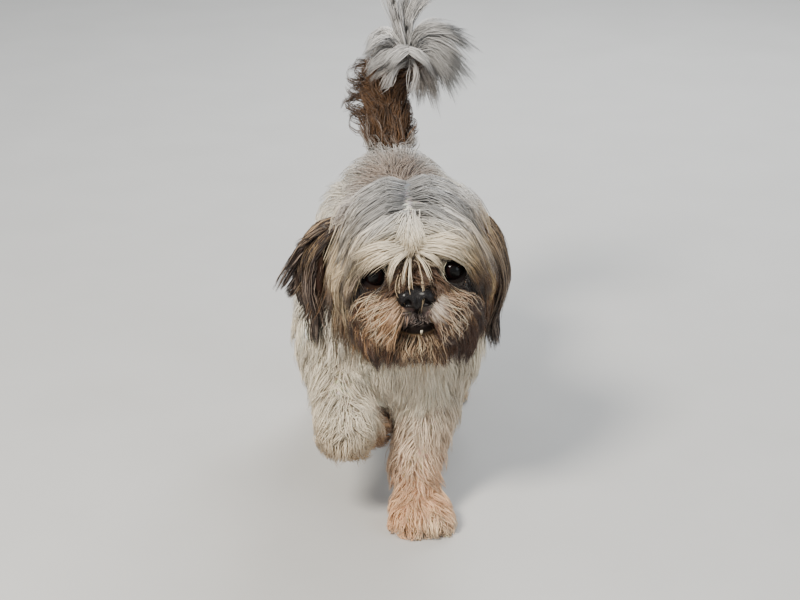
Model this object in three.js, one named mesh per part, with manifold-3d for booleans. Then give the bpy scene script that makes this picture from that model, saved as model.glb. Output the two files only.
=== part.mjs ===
// A shih tzu at life size, walking towards the viewer with its right forepaw lifted.
// Millimetres, +Z up. The dog faces -Y, its left side is +X, and the floor is Z = 0.
// Each part is a smooth body of flesh, with flat, tapered locks of coat rooted in it.

import * as THREE from "three";
import Module from "manifold-3d";

const wasm = await Module();
wasm.setup();

// Driving sizes
const GAP = 0.3; // left between parts that touch
const FINEST = 0.05; // edges shorter than this are closed up
const TOUCH = 0.005; // corners nearer than this count as one
const EYE_SPACING = 60;
const EYE_RADIUS = 11;
const EYE_DROP = 10; // of the eyes under the middle of the skull
const NOSE_DROP = 21;
const SKULL = { width: 100, length: 106, height: 88 };
const NOSE = { width: 28, depth: 17, height: 21 };
const BACK_HEIGHT = 240; // top of the flesh, without its coat
const CHEST = { width: 106, length: 156, height: 124 };
const LOIN = { width: 84, length: 160, height: 96 };
const RUMP = { width: 90, length: 96, height: 98 };
const PAW_LENGTH = 46;
const COAT_DEPTH = 14; // of the trimmed coat on the trunk
const UNDERCOAT = 2.5; // how far the dense core of that coat stands over the flesh

// Helpers for places and directions
const vec = (x, y, z) => new THREE.Vector3(x, y, z);
const degrees = THREE.MathUtils.degToRad;
const mix = THREE.MathUtils.lerp;
const along = (a, b, t) => a.clone().lerp(b, t);
const sides = [-1, 1];

// Repeatable random numbers, so that the coat is the same at each build
let seed = 11;
function random(low = -1, high = 1) {
  seed = (seed * 1664525 + 1013904223) % 4294967296;
  return low + (seed / 4294967296) * (high - low);
}

// The head has a frame of its own: a little raised, turned and tipped, as the dog carries it
const SKULL_CENTRE = vec(9, 68, 228);
const headTurn = new THREE.Euler(degrees(-3), degrees(-3.6), degrees(2), "ZYX");
const headFrame = new THREE.Matrix4().makeRotationFromEuler(headTurn).setPosition(SKULL_CENTRE);
const headSpin = new THREE.Quaternion().setFromEuler(headTurn);
const onHead = (x, y, z) => vec(x, y, z).applyMatrix4(headFrame);
const headWay = (x, y, z) => vec(x, y, z).applyQuaternion(headSpin);

// Flesh is built from balls, which are ellipsoids, and bones, which are tapered rods
const noSpin = new THREE.Quaternion();
const ball = (centre, width, length, height, spin = noSpin) => ({
  centre,
  radii: vec(width / 2, length / 2, height / 2),
  back: spin.clone().invert(),
});
const headBall = (x, y, z, width, length, height) => ball(onHead(x, y, z), width, length, height, headSpin);
const bone = (a, b, ra, rb) => ({ a, b, ra, rb });
const chain = (points, radii) => points.slice(1).map((p, i) => bone(points[i], p, radii[i], radii[i + 1]));

function distanceToShape(shape, p) {
  if (shape.radii) {
    const q = p.clone().sub(shape.centre).applyQuaternion(shape.back);
    const near = q.clone().divide(shape.radii);
    const k = near.length();
    const pull = near.divide(shape.radii).length();
    return pull < 1e-9 ? -Math.min(shape.radii.x, shape.radii.y, shape.radii.z) : (k * (k - 1)) / pull;
  }
  const rod = shape.b.clone().sub(shape.a);
  const t = THREE.MathUtils.clamp(p.clone().sub(shape.a).dot(rod) / rod.lengthSq(), 0, 1);
  return p.distanceTo(along(shape.a, shape.b, t)) - mix(shape.ra, shape.rb, t);
}

// Joins two distances with a rounded valley of the given breadth between them
function blended(a, b, breadth) {
  const overlap = Math.max(breadth - Math.abs(a - b), 0) / breadth;
  return Math.min(a, b) - (overlap * overlap * breadth) / 4;
}

const distanceTo = (shapes, breadth) => (p) =>
  shapes.reduce((found, shape) => blended(found, distanceToShape(shape, p), breadth), 1e3);

// Skeleton points
const WITHERS = vec(-3, 118, BACK_HEIGHT - 46);
const LEFT_FORE = {
  shoulder: vec(38, 104, 164),
  elbow: vec(33, 106, 118),
  wrist: vec(12, 50, 42),
  paw: vec(16, 27, 12),
};
const RIGHT_FORE = {
  shoulder: vec(-52, 98, 160),
  elbow: vec(-52, 104, 124),
  wrist: vec(-44, 26, 83),
  paw: vec(-30, 62, 72),
};
const LEFT_HIND = {
  hip: vec(30, 286, 172),
  knee: vec(40, 256, 118),
  hock: vec(37, 318, 64),
  paw: vec(37, 298, 12),
};
const RIGHT_HIND = {
  hip: vec(-36, 278, 172),
  knee: vec(-46, 240, 120),
  hock: vec(-42, 298, 64),
  paw: vec(-40, 274, 12),
};
const TAIL = [
  vec(-8, 310, 222),
  vec(-11, 330, 248),
  vec(-12, 340, 276),
  vec(-8, 334, 304),
  vec(0, 318, 322),
  vec(9, 301, 325),
  vec(16, 288, 314),
];
const TAIL_SPLIT = 3; // the point where the stem ends and the curl begins
const PLUME_ROOT = vec(3, 306, 328); // the place that the hair of the plume fans out from

// The flesh of each part
const hindLeg = ({ hip, knee, hock, paw }) => [
  ball(along(hip, knee, 0.25), 52, 84, 96),
  ...chain([hip, knee, hock], [34, 24, 12]),
  bone(hock, paw.clone().add(vec(0, 8, 16)), 12, 12),
];

// A standing paw: a pad on the floor with four toes in front
function standingPaw(leg, toeIn) {
  const { paw } = leg;
  const from = leg.wrist ?? leg.hock;
  const toes = [-1.5, -0.5, 0.5, 1.5].map((i) => {
    const reach = PAW_LENGTH * (0.4 - 0.04 * i * i);
    return ball(paw.clone().add(vec(i * 9.5 + toeIn * reach, -reach, -4)), 15, 22, 20);
  });
  return [
    ball(paw, 40, PAW_LENGTH, 30),
    bone(along(from, paw, 0.35), paw.clone().add(vec(0, 6, 4)), 12.5, 14),
    ...toes,
  ];
}

const eyePlace = (side) => onHead((side * EYE_SPACING) / 2, -36, -EYE_DROP);
const eyeLook = (side) => headWay(side * 0.26, -1, 0.02).normalize();

const lipCorner = (side) => onHead(side * 19, -46, -47);
const lipMiddle = onHead(0, -64, -46);
const jawCorner = (side) => onHead(side * 17, -46, -53);
const jawMiddle = onHead(0, -60, -52.5);

const flesh = {
  head: distanceTo(
    [
      headBall(0, 8, 6, SKULL.width, SKULL.length, SKULL.height),
      headBall(0, -44, -20, 36, 40, 34),
      ...sides.flatMap((side) => [
        headBall(side * 21, -29, 11, 42, 36, 26),
        headBall(side * 34, -10, -22, 50, 70, 56),
        headBall(side * 12.5, -51, -33, 32, 35, 33),
        bone(lipCorner(side), lipMiddle, 3.6, 4),
      ]),
    ],
    9,
  ),
  lower_jaw: distanceTo(
    [
      headBall(0, -44, -58, 38, 36, 20),
      headBall(0, -18, -50, 56, 66, 32),
      ...sides.map((side) => bone(jawCorner(side), jawMiddle, 3.2, 3.2)),
    ],
    7,
  ),
  neck: distanceTo(
    [
      bone(onHead(0, 34, -14), WITHERS, 40, 46),
      bone(onHead(0, 10, -40), vec(-4, 92, 160), 32, 40),
    ],
    16,
  ),
  torso: distanceTo(
    [
      ball(vec(-5, 138, BACK_HEIGHT - CHEST.height / 2), CHEST.width, CHEST.length, CHEST.height),
      ball(vec(-5, 88, 139), 88, 70, 108),
      ball(vec(-4, 214, BACK_HEIGHT - 4 - LOIN.height / 2), LOIN.width, LOIN.length, LOIN.height),
      ball(vec(-4, 283, BACK_HEIGHT - 2 - RUMP.height / 2), RUMP.width, RUMP.length, RUMP.height),
    ],
    26,
  ),
  left_foreleg: distanceTo(
    [
      ball(along(LEFT_FORE.shoulder, LEFT_FORE.elbow, 0.3), 40, 66, 92),
      ...chain([LEFT_FORE.shoulder, LEFT_FORE.elbow, LEFT_FORE.wrist], [28, 23, 15]),
    ],
    14,
  ),
  right_foreleg: distanceTo(
    [
      ball(along(RIGHT_FORE.shoulder, RIGHT_FORE.elbow, 0.2), 42, 70, 88),
      ...chain([RIGHT_FORE.shoulder, RIGHT_FORE.elbow, RIGHT_FORE.wrist], [29, 24, 15]),
    ],
    14,
  ),
  left_forepaw: distanceTo(standingPaw(LEFT_FORE, 0.12), 5),
  right_forepaw: distanceTo(
    [
      bone(along(RIGHT_FORE.wrist, RIGHT_FORE.paw, 0.2), RIGHT_FORE.paw, 13, 14),
      ball(RIGHT_FORE.paw, 32, 32, 28),
      ...[-1.5, -0.5, 0.5, 1.5].map((i) =>
        ball(RIGHT_FORE.paw.clone().add(vec(i * 7.5, 10, -8)), 13, 16, 18),
      ),
    ],
    5,
  ),
  left_hind_leg: distanceTo(hindLeg(LEFT_HIND), 16),
  right_hind_leg: distanceTo(hindLeg(RIGHT_HIND), 16),
  left_hind_paw: distanceTo(standingPaw(LEFT_HIND, 0), 5),
  right_hind_paw: distanceTo(standingPaw(RIGHT_HIND, 0), 5),
  tail_stem: distanceTo(chain(TAIL.slice(0, TAIL_SPLIT + 1), [13, 11, 10, 9]), 4),
  tail_curl: distanceTo(
    [
      ...chain(TAIL.slice(TAIL_SPLIT), [9, 8, 7, 6]),
      ball(PLUME_ROOT.clone().add(vec(22, 0, 2)), 52, 36, 34),
      ball(PLUME_ROOT.clone().add(vec(-18, 2, 0)), 42, 34, 40),
    ],
    10,
  ),
};
const distances = Object.values(flesh);
const wholeBody = (p) => distances.reduce((found, distance) => blended(found, distance(p), 6), 1e3);

// Unit direction that leads straight away from the flesh
function awayFrom(distance, p) {
  const step = 0.4;
  const slope = (x, y, z) => distance(p.clone().add(vec(x, y, z))) - distance(p.clone().sub(vec(x, y, z)));
  return vec(slope(step, 0, 0), slope(0, step, 0), slope(0, 0, step)).normalize();
}

function onSkin(distance, place) {
  const p = place.clone();
  for (let i = 0; i < 8; i++) p.addScaledVector(awayFrom(distance, p), -distance(p));
  return p;
}

// A closed solid from points and triangles, whichever way round its faces run
function solidOf(points, faces) {
  const vertProperties = new Float32Array(points.flatMap((p) => p.toArray()));
  const made = (triVerts) => new wasm.Manifold(new wasm.Mesh({ numProp: 3, vertProperties, triVerts }));
  const solid = made(new Uint32Array(faces.flat()));
  return solid.volume() > 0 ? solid : made(new Uint32Array(faces.map((face) => face.toReversed()).flat()));
}

// Joins rings of equal count, first to last, and closes the ends on a point or with a fan
function lofted(rings, firstPoint, lastPoint) {
  const count = rings[0].length;
  const points = [...rings.flat(), firstPoint, lastPoint];
  const faces = [];
  for (let i = 0; i < count; i++) {
    const j = (i + 1) % count;
    for (let r = 0; r + 1 < rings.length; r++) {
      const [a, b, c, d] = [r * count + i, r * count + j, (r + 1) * count + j, (r + 1) * count + i];
      faces.push([a, b, c], [a, c, d]);
    }
    const last = (rings.length - 1) * count;
    faces.push([points.length - 2, j, i], [points.length - 1, last + i, last + j]);
  }
  return solidOf(points, faces);
}

// Wraps a skin round an axis: rays leave the axis all round it, and each ends where the flesh does.
// The rings are parallel, so that they never cross, unless the part is a thin tube that bends.
function wrapped(distance, axis, { rings, around, caps = 2, bends = false }, thicker = 0) {
  const curve = new THREE.CatmullRomCurve3(axis);
  const line = bends ? curve : new THREE.LineCurve3(axis[0], axis[axis.length - 1]);
  const frames = line.computeFrenetFrames(rings - 1, false);
  const reach = (origin, way) => {
    let far = 0;
    for (let i = 0; i < 50; i++) {
      const d = distance(origin.clone().addScaledVector(way, far)) - thicker;
      if (Math.abs(d) < 0.01) break;
      far -= d * 0.9;
    }
    return origin.clone().addScaledVector(way, Math.max(far, 0.5));
  };
  const ring = (i, tilt) => {
    const origin = curve.getPointAt(i / (rings - 1));
    return Array.from({ length: around }, (_, k) => {
      const angle = (k / around) * 2 * Math.PI;
      const way = frames.normals[i].clone().multiplyScalar(Math.cos(angle));
      way.addScaledVector(frames.binormals[i], Math.sin(angle)).multiplyScalar(Math.cos(tilt));
      way.addScaledVector(frames.tangents[i], Math.sin(tilt)).normalize();
      return reach(origin, way);
    });
  };
  const tilts = Array.from({ length: caps }, (_, i) => ((i + 1) / (caps + 1)) * (Math.PI / 2));
  const last = rings - 1;
  const skin = [
    ...tilts.toReversed().map((tilt) => ring(0, -tilt)),
    ...Array.from({ length: rings }, (_, i) => ring(i, 0)),
    ...tilts.map((tilt) => ring(last, tilt)),
  ];
  const first = reach(curve.getPointAt(0), frames.tangents[0].clone().negate());
  return lofted(skin, first, reach(curve.getPointAt(1), frames.tangents[last]));
}

// One lock of coat is a flat blade with a raised middle, tapered to its tip, that follows a path of points.
// up gives the direction that its raised side faces. A lock that would fold over on itself is left out.
const taper = (t) => (t < 0.35 ? mix(0.72, 1, t / 0.35) : Math.sqrt(1 - (t - 0.35) / 0.66));
function blade(path, up, { width, thick = 3 }, thicker = 0) {
  const last = path.length - 1;
  let across = null;
  const rings = path.slice(0, last).map((p, i) => {
    const tangent = path[i + 1].clone().sub(path[Math.max(i - 1, 0)]).normalize();
    const level = tangent.clone().cross(up(p)).normalize();
    if (across) level.multiplyScalar(across.dot(level) < 0 ? -0.6 : 0.6).add(across);
    across = level.addScaledVector(tangent, -level.dot(tangent)).normalize();
    const top = across.clone().cross(tangent).normalize();
    const half = (width / 2) * taper(i / last) + thicker;
    const corner = (side, height) =>
      p.clone().addScaledVector(across, side * half).addScaledVector(top, height);
    const [under, over] = [-0.4 * thick, 0.6 * thick];
    const flat = [corner(-1, under - thicker), corner(1, under - thicker)];
    const edges = (side) => (thicker > 0 ? [corner(side, under + thicker)] : []);
    return [...flat, ...edges(1), corner(0, over + thicker), ...edges(-1)];
  });
  const steps = path.slice(1).map((p, i) => p.clone().sub(path[i]));
  const advances = (i) => rings[i].every((p, k) => p.clone().sub(rings[i - 1][k]).dot(steps[i - 1]) > 0);
  if (!rings.every((_, i) => i === 0 || advances(i))) return [];
  const root = path[0].clone().addScaledVector(steps[0].normalize(), -0.5 - 2 * thicker);
  const end = path[last].clone().addScaledVector(steps[last - 1].normalize(), 3 * thicker);
  return [lofted(rings, root, end)];
}

const awayFromBody = (p) => awayFrom(wholeBody, p);

// A combed lock leaves its root along lie and bends as gravity and the body under it say. It keeps off the
// flesh by a height that grows from low to high, and cling draws it back where it would stand further off.
function combed(distance, place, lie, look, thicker = 0) {
  const { length, low = 4, high = 12, droop = 0.5, cling = 0.8, steps = 3 } = look;
  const p = onSkin(distance, place);
  const way = lie.clone().normalize();
  const path = [p.clone().addScaledVector(awayFrom(distance, p), -3)];
  for (let i = 1; i <= steps; i++) {
    const up = awayFromBody(p);
    way.z -= (droop / steps) * 1.6;
    way.addScaledVector(up, -way.dot(up) * cling).normalize();
    p.addScaledVector(way, length / steps);
    const lift = mix(low, high, i / steps) - wholeBody(p);
    p.addScaledVector(awayFromBody(p), lift > 0 ? lift : lift * cling);
    p.z = Math.max(p.z, 1.5);
    path.push(p.clone());
  }
  return blade(path, awayFromBody, look, thicker);
}

// Locks of the head. Places and directions are in the head's own frame, and each row runs front to back:
// x and z of its roots over the skull, its places along y, and how far out its locks are combed.
const crownRows = [
  { x: 5, z: 48, ys: [-34, -17, 2, 22, 42], length: 72, width: 19, out: 1, high: 11 },
  { x: 33, z: 32, ys: [-24, -5, 16, 38], length: 60, width: 21, out: 0.7, high: 13 },
];
// One row on each side: from and to are the ends of its roots, and its locks turn from one lie to the other
const faceRows = {
  fringe: {
    from: [9, -42, 19],
    to: [22, -38, 22],
    lies: [[1, -0.3, 0.05], [1, 0, 0.2]],
    count: 2,
    look: { length: 40, width: 13, high: 8, droop: 0.5 },
  },
  wisps: {
    from: [3, -44, 9],
    to: [8, -43, 12],
    lies: [[0.15, -0.6, -1], [0.7, -0.6, -1]],
    count: 2,
    look: { length: 25, width: 8, high: 5, droop: 0.3 },
  },
  cheek: {
    from: [56, -30, -14],
    to: [56, 4, -16],
    lies: [[0.5, 0.1, -1], [0.5, 0.3, -1]],
    count: 3,
    look: { length: 44, width: 18, high: 15, droop: 0.4 },
  },
  jowl: {
    from: [44, -34, -38],
    to: [50, 2, -38],
    lies: [[0.4, -0.1, -1], [0.4, 0.1, -1]],
    count: 3,
    look: { length: 40, width: 19, high: 13, droop: 0.2 },
  },
  moustache: {
    from: [18, -58, -22],
    to: [17, -56, -40],
    lies: [[1, -0.3, -0.1], [0.75, -0.3, -1]],
    count: 4,
    look: { length: 35, width: 11, high: 12, droop: 0.7 },
  },
};
const laid = (x, y, z, lie, look) => ({ place: onHead(x, y, z), lie: headWay(...lie), look });
function headLocks() {
  const locks = [];
  for (const side of sides) {
    for (const { x, z, ys, out, ...look } of crownRows)
      for (const y of ys) {
        const forward = mix(-0.75, 0.5, (y + 34) / 76) + random(-0.08, 0.08);
        const lie = [side * out, forward, -0.15 - 0.5 * (1 - out)];
        locks.push(laid(side * x, y, z, lie, { ...look, low: 4, droop: 0.9, cling: 0.9, steps: 4 }));
      }
    for (const { from, to, lies, count, look } of Object.values(faceRows))
      for (let i = 0; i < count; i++) {
        const t = i / (count - 1);
        const [x, y, z] = from.map((value, axis) => mix(value, to[axis], t));
        const [left, back, up] = lies[0].map((value, axis) => mix(value, lies[1][axis], t));
        const lie = [side * left, back + random(-0.1, 0.1), up];
        locks.push(laid(side * x, y, z, lie, { ...look, cling: 0.6 }));
      }
  }
  return locks;
}

// The beard hangs from the chin in three rows
const beardLook = { length: 20, width: 15, high: 11, droop: 0.4, cling: 0.2, steps: 2 };
function beardLocks() {
  const locks = [];
  for (const [y, spread, count] of [[-60, 22, 3], [-44, 40, 4], [-24, 56, 3]])
    for (let i = 0; i < count; i++) {
      const x = spread * (i / (count - 1) - 0.5);
      locks.push(laid(x, y, -64, [x / 40, y / 150, -1], beardLook));
    }
  return locks;
}

// Locks in rings round an axis. comb gives the lie at a place, from the way round the axis.
function ringLocks(distance, axis, { rings, around, from = 0, to = 1, look, comb, keep = () => true }) {
  const curve = new THREE.CatmullRomCurve3(axis);
  const locks = [];
  for (let r = 0; r < rings; r++)
    for (let k = 0; k < around; k++) {
      const t = Math.min(mix(from, to, (r + 0.5) / rings), 1);
      const angle = ((k + 0.5 * (r % 2) + random(-0.1, 0.1)) / around - 0.25) * 2 * Math.PI;
      const tangent = curve.getTangentAt(t);
      const up = Math.abs(tangent.z) > 0.8 ? vec(0, 1, 0) : vec(0, 0, 1);
      const across = tangent.clone().cross(up).normalize();
      const round = across.clone().multiplyScalar(Math.cos(angle));
      round.addScaledVector(across.clone().cross(tangent).normalize(), Math.sin(angle));
      const place = onSkin(distance, curve.getPointAt(t).addScaledVector(round, 30));
      const buried = distance(place) - wholeBody(place) > 2;
      if (buried || place.z < 9 || !keep(place, round)) continue;
      const length = look.length * random(0.9, 1.12);
      locks.push({ place, lie: comb(round, tangent, place), look: { ...look, length } });
    }
  return locks;
}

const bodyAxis = [vec(-5, 92, 165), vec(-5, 140, 176), vec(-4, 214, 183), vec(-4, 300, 184)];
const trunkComb = (round) => vec(round.x * 0.3, 0.8, -0.25 - 0.6 * Math.abs(round.x));
const chestComb = (round) => vec(round.x * 0.4, -0.25, -1);
const legComb = (round) => vec(round.x * 0.5, round.y * 0.5, -1);
const legLook = { length: 44, width: 27, low: 5, high: 13, droop: 0.1, cling: 0.6, steps: 2 };
const pawLook = { length: 26, width: 21, low: 3.5, high: 9, droop: 0.3, cling: 0.4, steps: 2 };

const torsoLocks = () => [
  ...ringLocks(flesh.torso, bodyAxis, {
    rings: 7,
    around: 10,
    from: 0.08,
    to: 1.08,
    look: { length: 50, width: 31, low: 6, high: COAT_DEPTH, droop: 0.3, cling: 0.9, steps: 2 },
    comb: trunkComb,
    keep: (place, round) => round.z > -0.72,
  }),
  ...ringLocks(flesh.torso, [vec(-5, 110, 190), vec(-5, 84, 112)], {
    rings: 3,
    around: 11,
    look: { length: 42, width: 27, low: 5, high: COAT_DEPTH, droop: 0.2, cling: 0.7, steps: 2 },
    comb: chestComb,
    keep: (place) => place.y < 84,
  }),
];

const neckLocks = () =>
  ringLocks(flesh.neck, [onHead(0, 40, -20), WITHERS], {
    rings: 2,
    around: 9,
    look: { length: 44, width: 28, low: 5, high: COAT_DEPTH, droop: 0.4, cling: 0.8, steps: 2 },
    comb: (round) => vec(round.x, 0.7, -0.6),
    keep: (place, round) => round.z > -0.5,
  });

const legAxis = (leg) => [leg.shoulder ?? leg.hip, leg.elbow ?? leg.knee, leg.wrist ?? leg.hock];
const legLocks = (name, leg, around) =>
  ringLocks(flesh[name], legAxis(leg), {
    rings: 4,
    around,
    from: -0.02,
    to: 1.02,
    look: legLook,
    comb: legComb,
  });

const standingPawLocks = (name, leg) =>
  ringLocks(flesh[name], [leg.wrist ?? leg.hock, leg.paw], {
    rings: 2,
    around: 4,
    from: 0.1,
    to: 0.8,
    look: pawLook,
    comb: (round) => vec(round.x, round.y - 0.25, -0.7),
  });

const liftedPawLocks = () =>
  ringLocks(flesh.right_forepaw, [RIGHT_FORE.wrist, RIGHT_FORE.paw], {
    rings: 2,
    around: 5,
    from: 0.05,
    to: 0.75,
    look: { ...pawLook, length: 26 },
    comb: (round, tangent) => tangent.clone().addScaledVector(round, 0.5),
  });

const stemLocks = () =>
  ringLocks(flesh.tail_stem, TAIL.slice(0, TAIL_SPLIT + 1), {
    rings: 4,
    around: 4,
    from: 0.2,
    to: 1,
    look: { length: 32, width: 19, low: 6, high: 12, droop: 0.3, cling: 0.4, steps: 2 },
    comb: (round, tangent) => tangent.clone().addScaledVector(round, 0.4),
  });

// The plume: each sweep runs from one guide to the next, and a guide is the middle and the tip of a lock.
// Its hair falls to the dog's left, curls on its right, and is blown up in the middle.
const SWEEPS = [
  { guides: [[[34, -4, 354], [72, -14, 312]], [[26, 8, 336], [42, 2, 272]]], count: 4, width: 21 },
  { guides: [[[30, 20, 340], [56, 32, 292]], [[14, 26, 318], [16, 26, 268]]], count: 3, width: 21 },
  { guides: [[[12, -18, 322], [22, -26, 268]], [[-14, -16, 316], [-24, -22, 272]]], count: 3, width: 16 },
  { guides: [[[-24, -6, 350], [-50, -8, 318]], [[-24, -2, 326], [-50, -4, 282]]], count: 4, width: 17 },
  { guides: [[[-16, 22, 346], [-38, 36, 312]], [[-6, 28, 330], [-14, 40, 284]]], count: 2, width: 17 },
  { guides: [[[-14, 4, 364], [-22, 2, 388]], [[16, 2, 368], [34, -4, 386]]], count: 4, width: 12 },
  { guides: [[[0, -8, 366], [6, -14, 398]], [[4, 16, 362], [8, 22, 386]]], count: 2, width: 12 },
];
function plumeLocks() {
  const shake = () => vec(random(), random(), random()).multiplyScalar(2);
  const place = ([x, y, z]) => vec(x, PLUME_ROOT.y + y, z);
  return SWEEPS.flatMap(({ guides, count, width }) =>
    Array.from({ length: count }, (_, i) => {
      const t = count > 1 ? i / (count - 1) : 0.5;
      const between = (k) => along(place(guides[0][k]), place(guides[1][k]), t).add(shake());
      const [middle, tip] = [between(0), between(1)];
      const root = along(PLUME_ROOT, middle, 0.25);
      const path = new THREE.QuadraticBezierCurve3(root, bend(root, middle, tip), tip).getPoints(4);
      const up = (p) => p.clone().sub(PLUME_ROOT).add(vec(0, 0, 30));
      return { path, up, look: { width, thick: 4 } };
    }),
  );
}

// The control point that takes a curve from a through b to c
const bend = (a, b, c) => b.clone().multiplyScalar(2).addScaledVector(a, -0.5).addScaledVector(c, -0.5);

// The ear leather: a hanging leaf whose inner face is cupped towards the cheek
const EAR = { length: 72, width: 44, thick: 4.5, cup: 8 };
const earSpine = (side, blown) =>
  new THREE.CatmullRomCurve3(
    [
      [46, 14, 24],
      [60 + 3 * blown, 13, 18],
      [70 + 8 * blown, 10, -2],
      [73 + 8 * blown, 7, -26],
      [70 + 6 * blown, 4, -46],
    ].map(([x, y, z]) => onHead(side * x, y, z)),
  );
function earLeather(side, blown, thicker = 0) {
  const spine = earSpine(side, blown);
  const steps = 7;
  const outward = headWay(side, 0, 0);
  const rings = Array.from({ length: steps }, (_, i) => {
    const t = i / (steps - 1);
    const centre = spine.getPointAt(t);
    const across = headWay(0, -1, 0);
    const out = across.clone().cross(spine.getTangentAt(t)).normalize();
    if (out.dot(outward) < 0) out.negate();
    const leaf = 0.5 + 0.5 * Math.sin(Math.min(t * 1.25, 1) * Math.PI * 0.9 + 0.1);
    const half = (EAR.width / 2) * leaf + thicker;
    const edge = [-1, 0, 1];
    const face = (v, depth) =>
      centre
        .clone()
        .addScaledVector(across, half * v)
        .addScaledVector(out, -EAR.cup * v * v * Math.sin(Math.PI * mix(0.1, 0.9, t)) + depth);
    const rim = (v) => (EAR.thick / 2) * (1 - 0.5 * v * v) + thicker;
    return [...edge.map((v) => face(v, rim(v))), ...edge.toReversed().map((v) => face(v, -rim(v)))];
  });
  const tip = spine.getPointAt(1).addScaledVector(spine.getTangentAt(1), 5 + 2 * thicker);
  const root = spine.getPointAt(0).addScaledVector(spine.getTangentAt(0), -2 - 2 * thicker);
  return lofted(rings, root, tip);
}

// Long locks lie along the outside of the ear and hang past its tip; on the right ear some are blown out
function earLocks(side, blown) {
  const spine = earSpine(side, blown);
  const up = () => headWay(side, -0.25, 0.1);
  const locks = [];
  for (const [start, ys, over] of [[0.06, [-9, 9], 0], [0.36, [-15, 0, 15], 2], [0.62, [-12, 4], 8]])
    for (const y of ys) {
      const path = [0, 0.33, 0.66, 1].map((t) => {
        const along = Math.min(mix(start, start + 0.62, t), 1);
        const hang = Math.max(mix(start, start + 0.62, t) - 1, 0) * EAR.length + over * t * t;
        const out = side * (1 + 5 * t - 4 * t * t);
        return spine.getPointAt(along).add(headWay(out, y * mix(0.8, 1, t), -hang));
      });
      locks.push({ path, up, look: { width: 19, thick: 4 } });
    }
  for (let i = 0; i < 3 * blown; i++) {
    const root = spine.getPointAt(0.3 + 0.12 * i).add(headWay(side * 1, -6 + 5 * i, 0));
    const way = headWay(side, -0.1 * i, 0.15 - 0.3 * i);
    const path = [0, 11, 20, 28].map((far) => {
      const sag = vec(0, 0, -far * far * 0.012);
      return root.clone().addScaledVector(way, far).add(sag);
    });
    locks.push({ path, up: () => headWay(side * 0.2, -1, 0.5), look: { width: 10, thick: 3 } });
  }
  return locks;
}

// Solid of a part: its core with its locks fused in
const tidyUnion = (pieces) => wasm.Manifold.union(pieces);
const largest = (solid) => solid.decompose().sort((a, b) => b.volume() - a.volume())[0];
const coated = (distance, locks, thicker) =>
  locks.flatMap(({ path, up, place, lie, look }) =>
    path ? blade(path, up, look, thicker) : combed(distance, place, lie, look, thicker),
  );

const fromGeometry = (geometry) => {
  const points = [];
  const places = geometry.getAttribute("position");
  const seen = new Map();
  const number = [];
  for (let i = 0; i < places.count; i++) {
    const p = vec().fromBufferAttribute(places, i);
    const key = p.toArray().map((x) => x.toFixed(3)).join();
    if (!seen.has(key)) seen.set(key, points.push(p) - 1);
    number.push(seen.get(key));
  }
  const corners = geometry.index ? [...geometry.index.array] : number.map((_, i) => i);
  const faces = [];
  for (let i = 0; i < corners.length; i += 3) {
    const face = corners.slice(i, i + 3).map((c) => number[c]);
    if (new Set(face).size === 3) faces.push(face);
  }
  return solidOf(points, faces);
};

// Eyes, with the cornea standing a little out of the ball
function eye(side, thicker) {
  const r = EYE_RADIUS + thicker;
  const bulge = 1.1;
  const profile = [new THREE.Vector2(0, -r)];
  for (let i = 1; i < 9; i++) {
    const a = degrees(-90 + i * 20);
    const stand = a > degrees(45) ? bulge * Math.sin((a - degrees(45)) * 2) : 0;
    profile.push(new THREE.Vector2(Math.cos(a) * r, Math.sin(a) * r + stand));
  }
  profile.push(new THREE.Vector2(0, r + bulge));
  const geometry = new THREE.LatheGeometry(profile, 12);
  const turn = new THREE.Quaternion().setFromUnitVectors(vec(0, 1, 0), eyeLook(side));
  geometry.applyQuaternion(turn).translate(...eyePlace(side).toArray());
  return fromGeometry(geometry);
}

// Lids: a flattened ring that hugs the front of the eye
function lids(side) {
  const geometry = new THREE.TorusGeometry(EYE_RADIUS - 0.8, 2.2, 5, 12);
  const turn = new THREE.Quaternion().setFromUnitVectors(vec(0, 0, 1), eyeLook(side));
  const place = eyePlace(side).addScaledVector(eyeLook(side), 4.6);
  return fromGeometry(geometry.scale(1.08, 0.94, 1).applyQuaternion(turn).translate(...place.toArray()));
}

const egg = (centre, width, length, height, spin, detail = 2) =>
  fromGeometry(
    new THREE.IcosahedronGeometry(1, detail)
      .scale(width / 2, length / 2, height / 2)
      .applyQuaternion(spin)
      .translate(...centre.toArray()),
  );

const leather = distanceTo(
  [
    headBall(0, -66, -NOSE_DROP, NOSE.width, NOSE.depth, NOSE.height),
    ...sides.map((side) => headBall(side * 8, -68.5, -NOSE_DROP - 3, 13, 11, 12)),
  ],
  4,
);
function nose(thicker) {
  const axis = [onHead(-4, -66, -NOSE_DROP - 1), onHead(4, -66, -NOSE_DROP - 1)];
  const skin = wrapped(leather, axis, { rings: 3, around: 12 }, thicker);
  if (thicker > 0) return skin;
  const holes = sides.flatMap((side) => {
    const turn = new THREE.Quaternion().setFromAxisAngle(vec(0, 1, 0), side * 0.5);
    const slant = headSpin.clone().multiply(turn);
    return [
      egg(onHead(side * 6.6, -75, -NOSE_DROP - 1.6), 5.4, 10, 5.6, slant, 1),
      egg(onHead(side * 10.5, -72.5, -NOSE_DROP - 4), 8, 8, 2.4, slant, 0),
    ];
  });
  const groove = egg(onHead(0, -76, -NOSE_DROP - 5), 1.4, 5, 18, headSpin, 0);
  return skin.subtract(tidyUnion([...holes, groove]));
}

// Lower front teeth that show between the lips
function teeth() {
  return [-4.5, -1.5, 1.5, 4.5].map((x) => {
    const tooth = new THREE.CylinderGeometry(1, 1.5, 7, 6).rotateX(Math.PI / 2);
    tooth.applyQuaternion(headSpin).translate(...onHead(x, -58.5 + x * x * 0.08, -50).toArray());
    return fromGeometry(tooth);
  });
}

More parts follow.
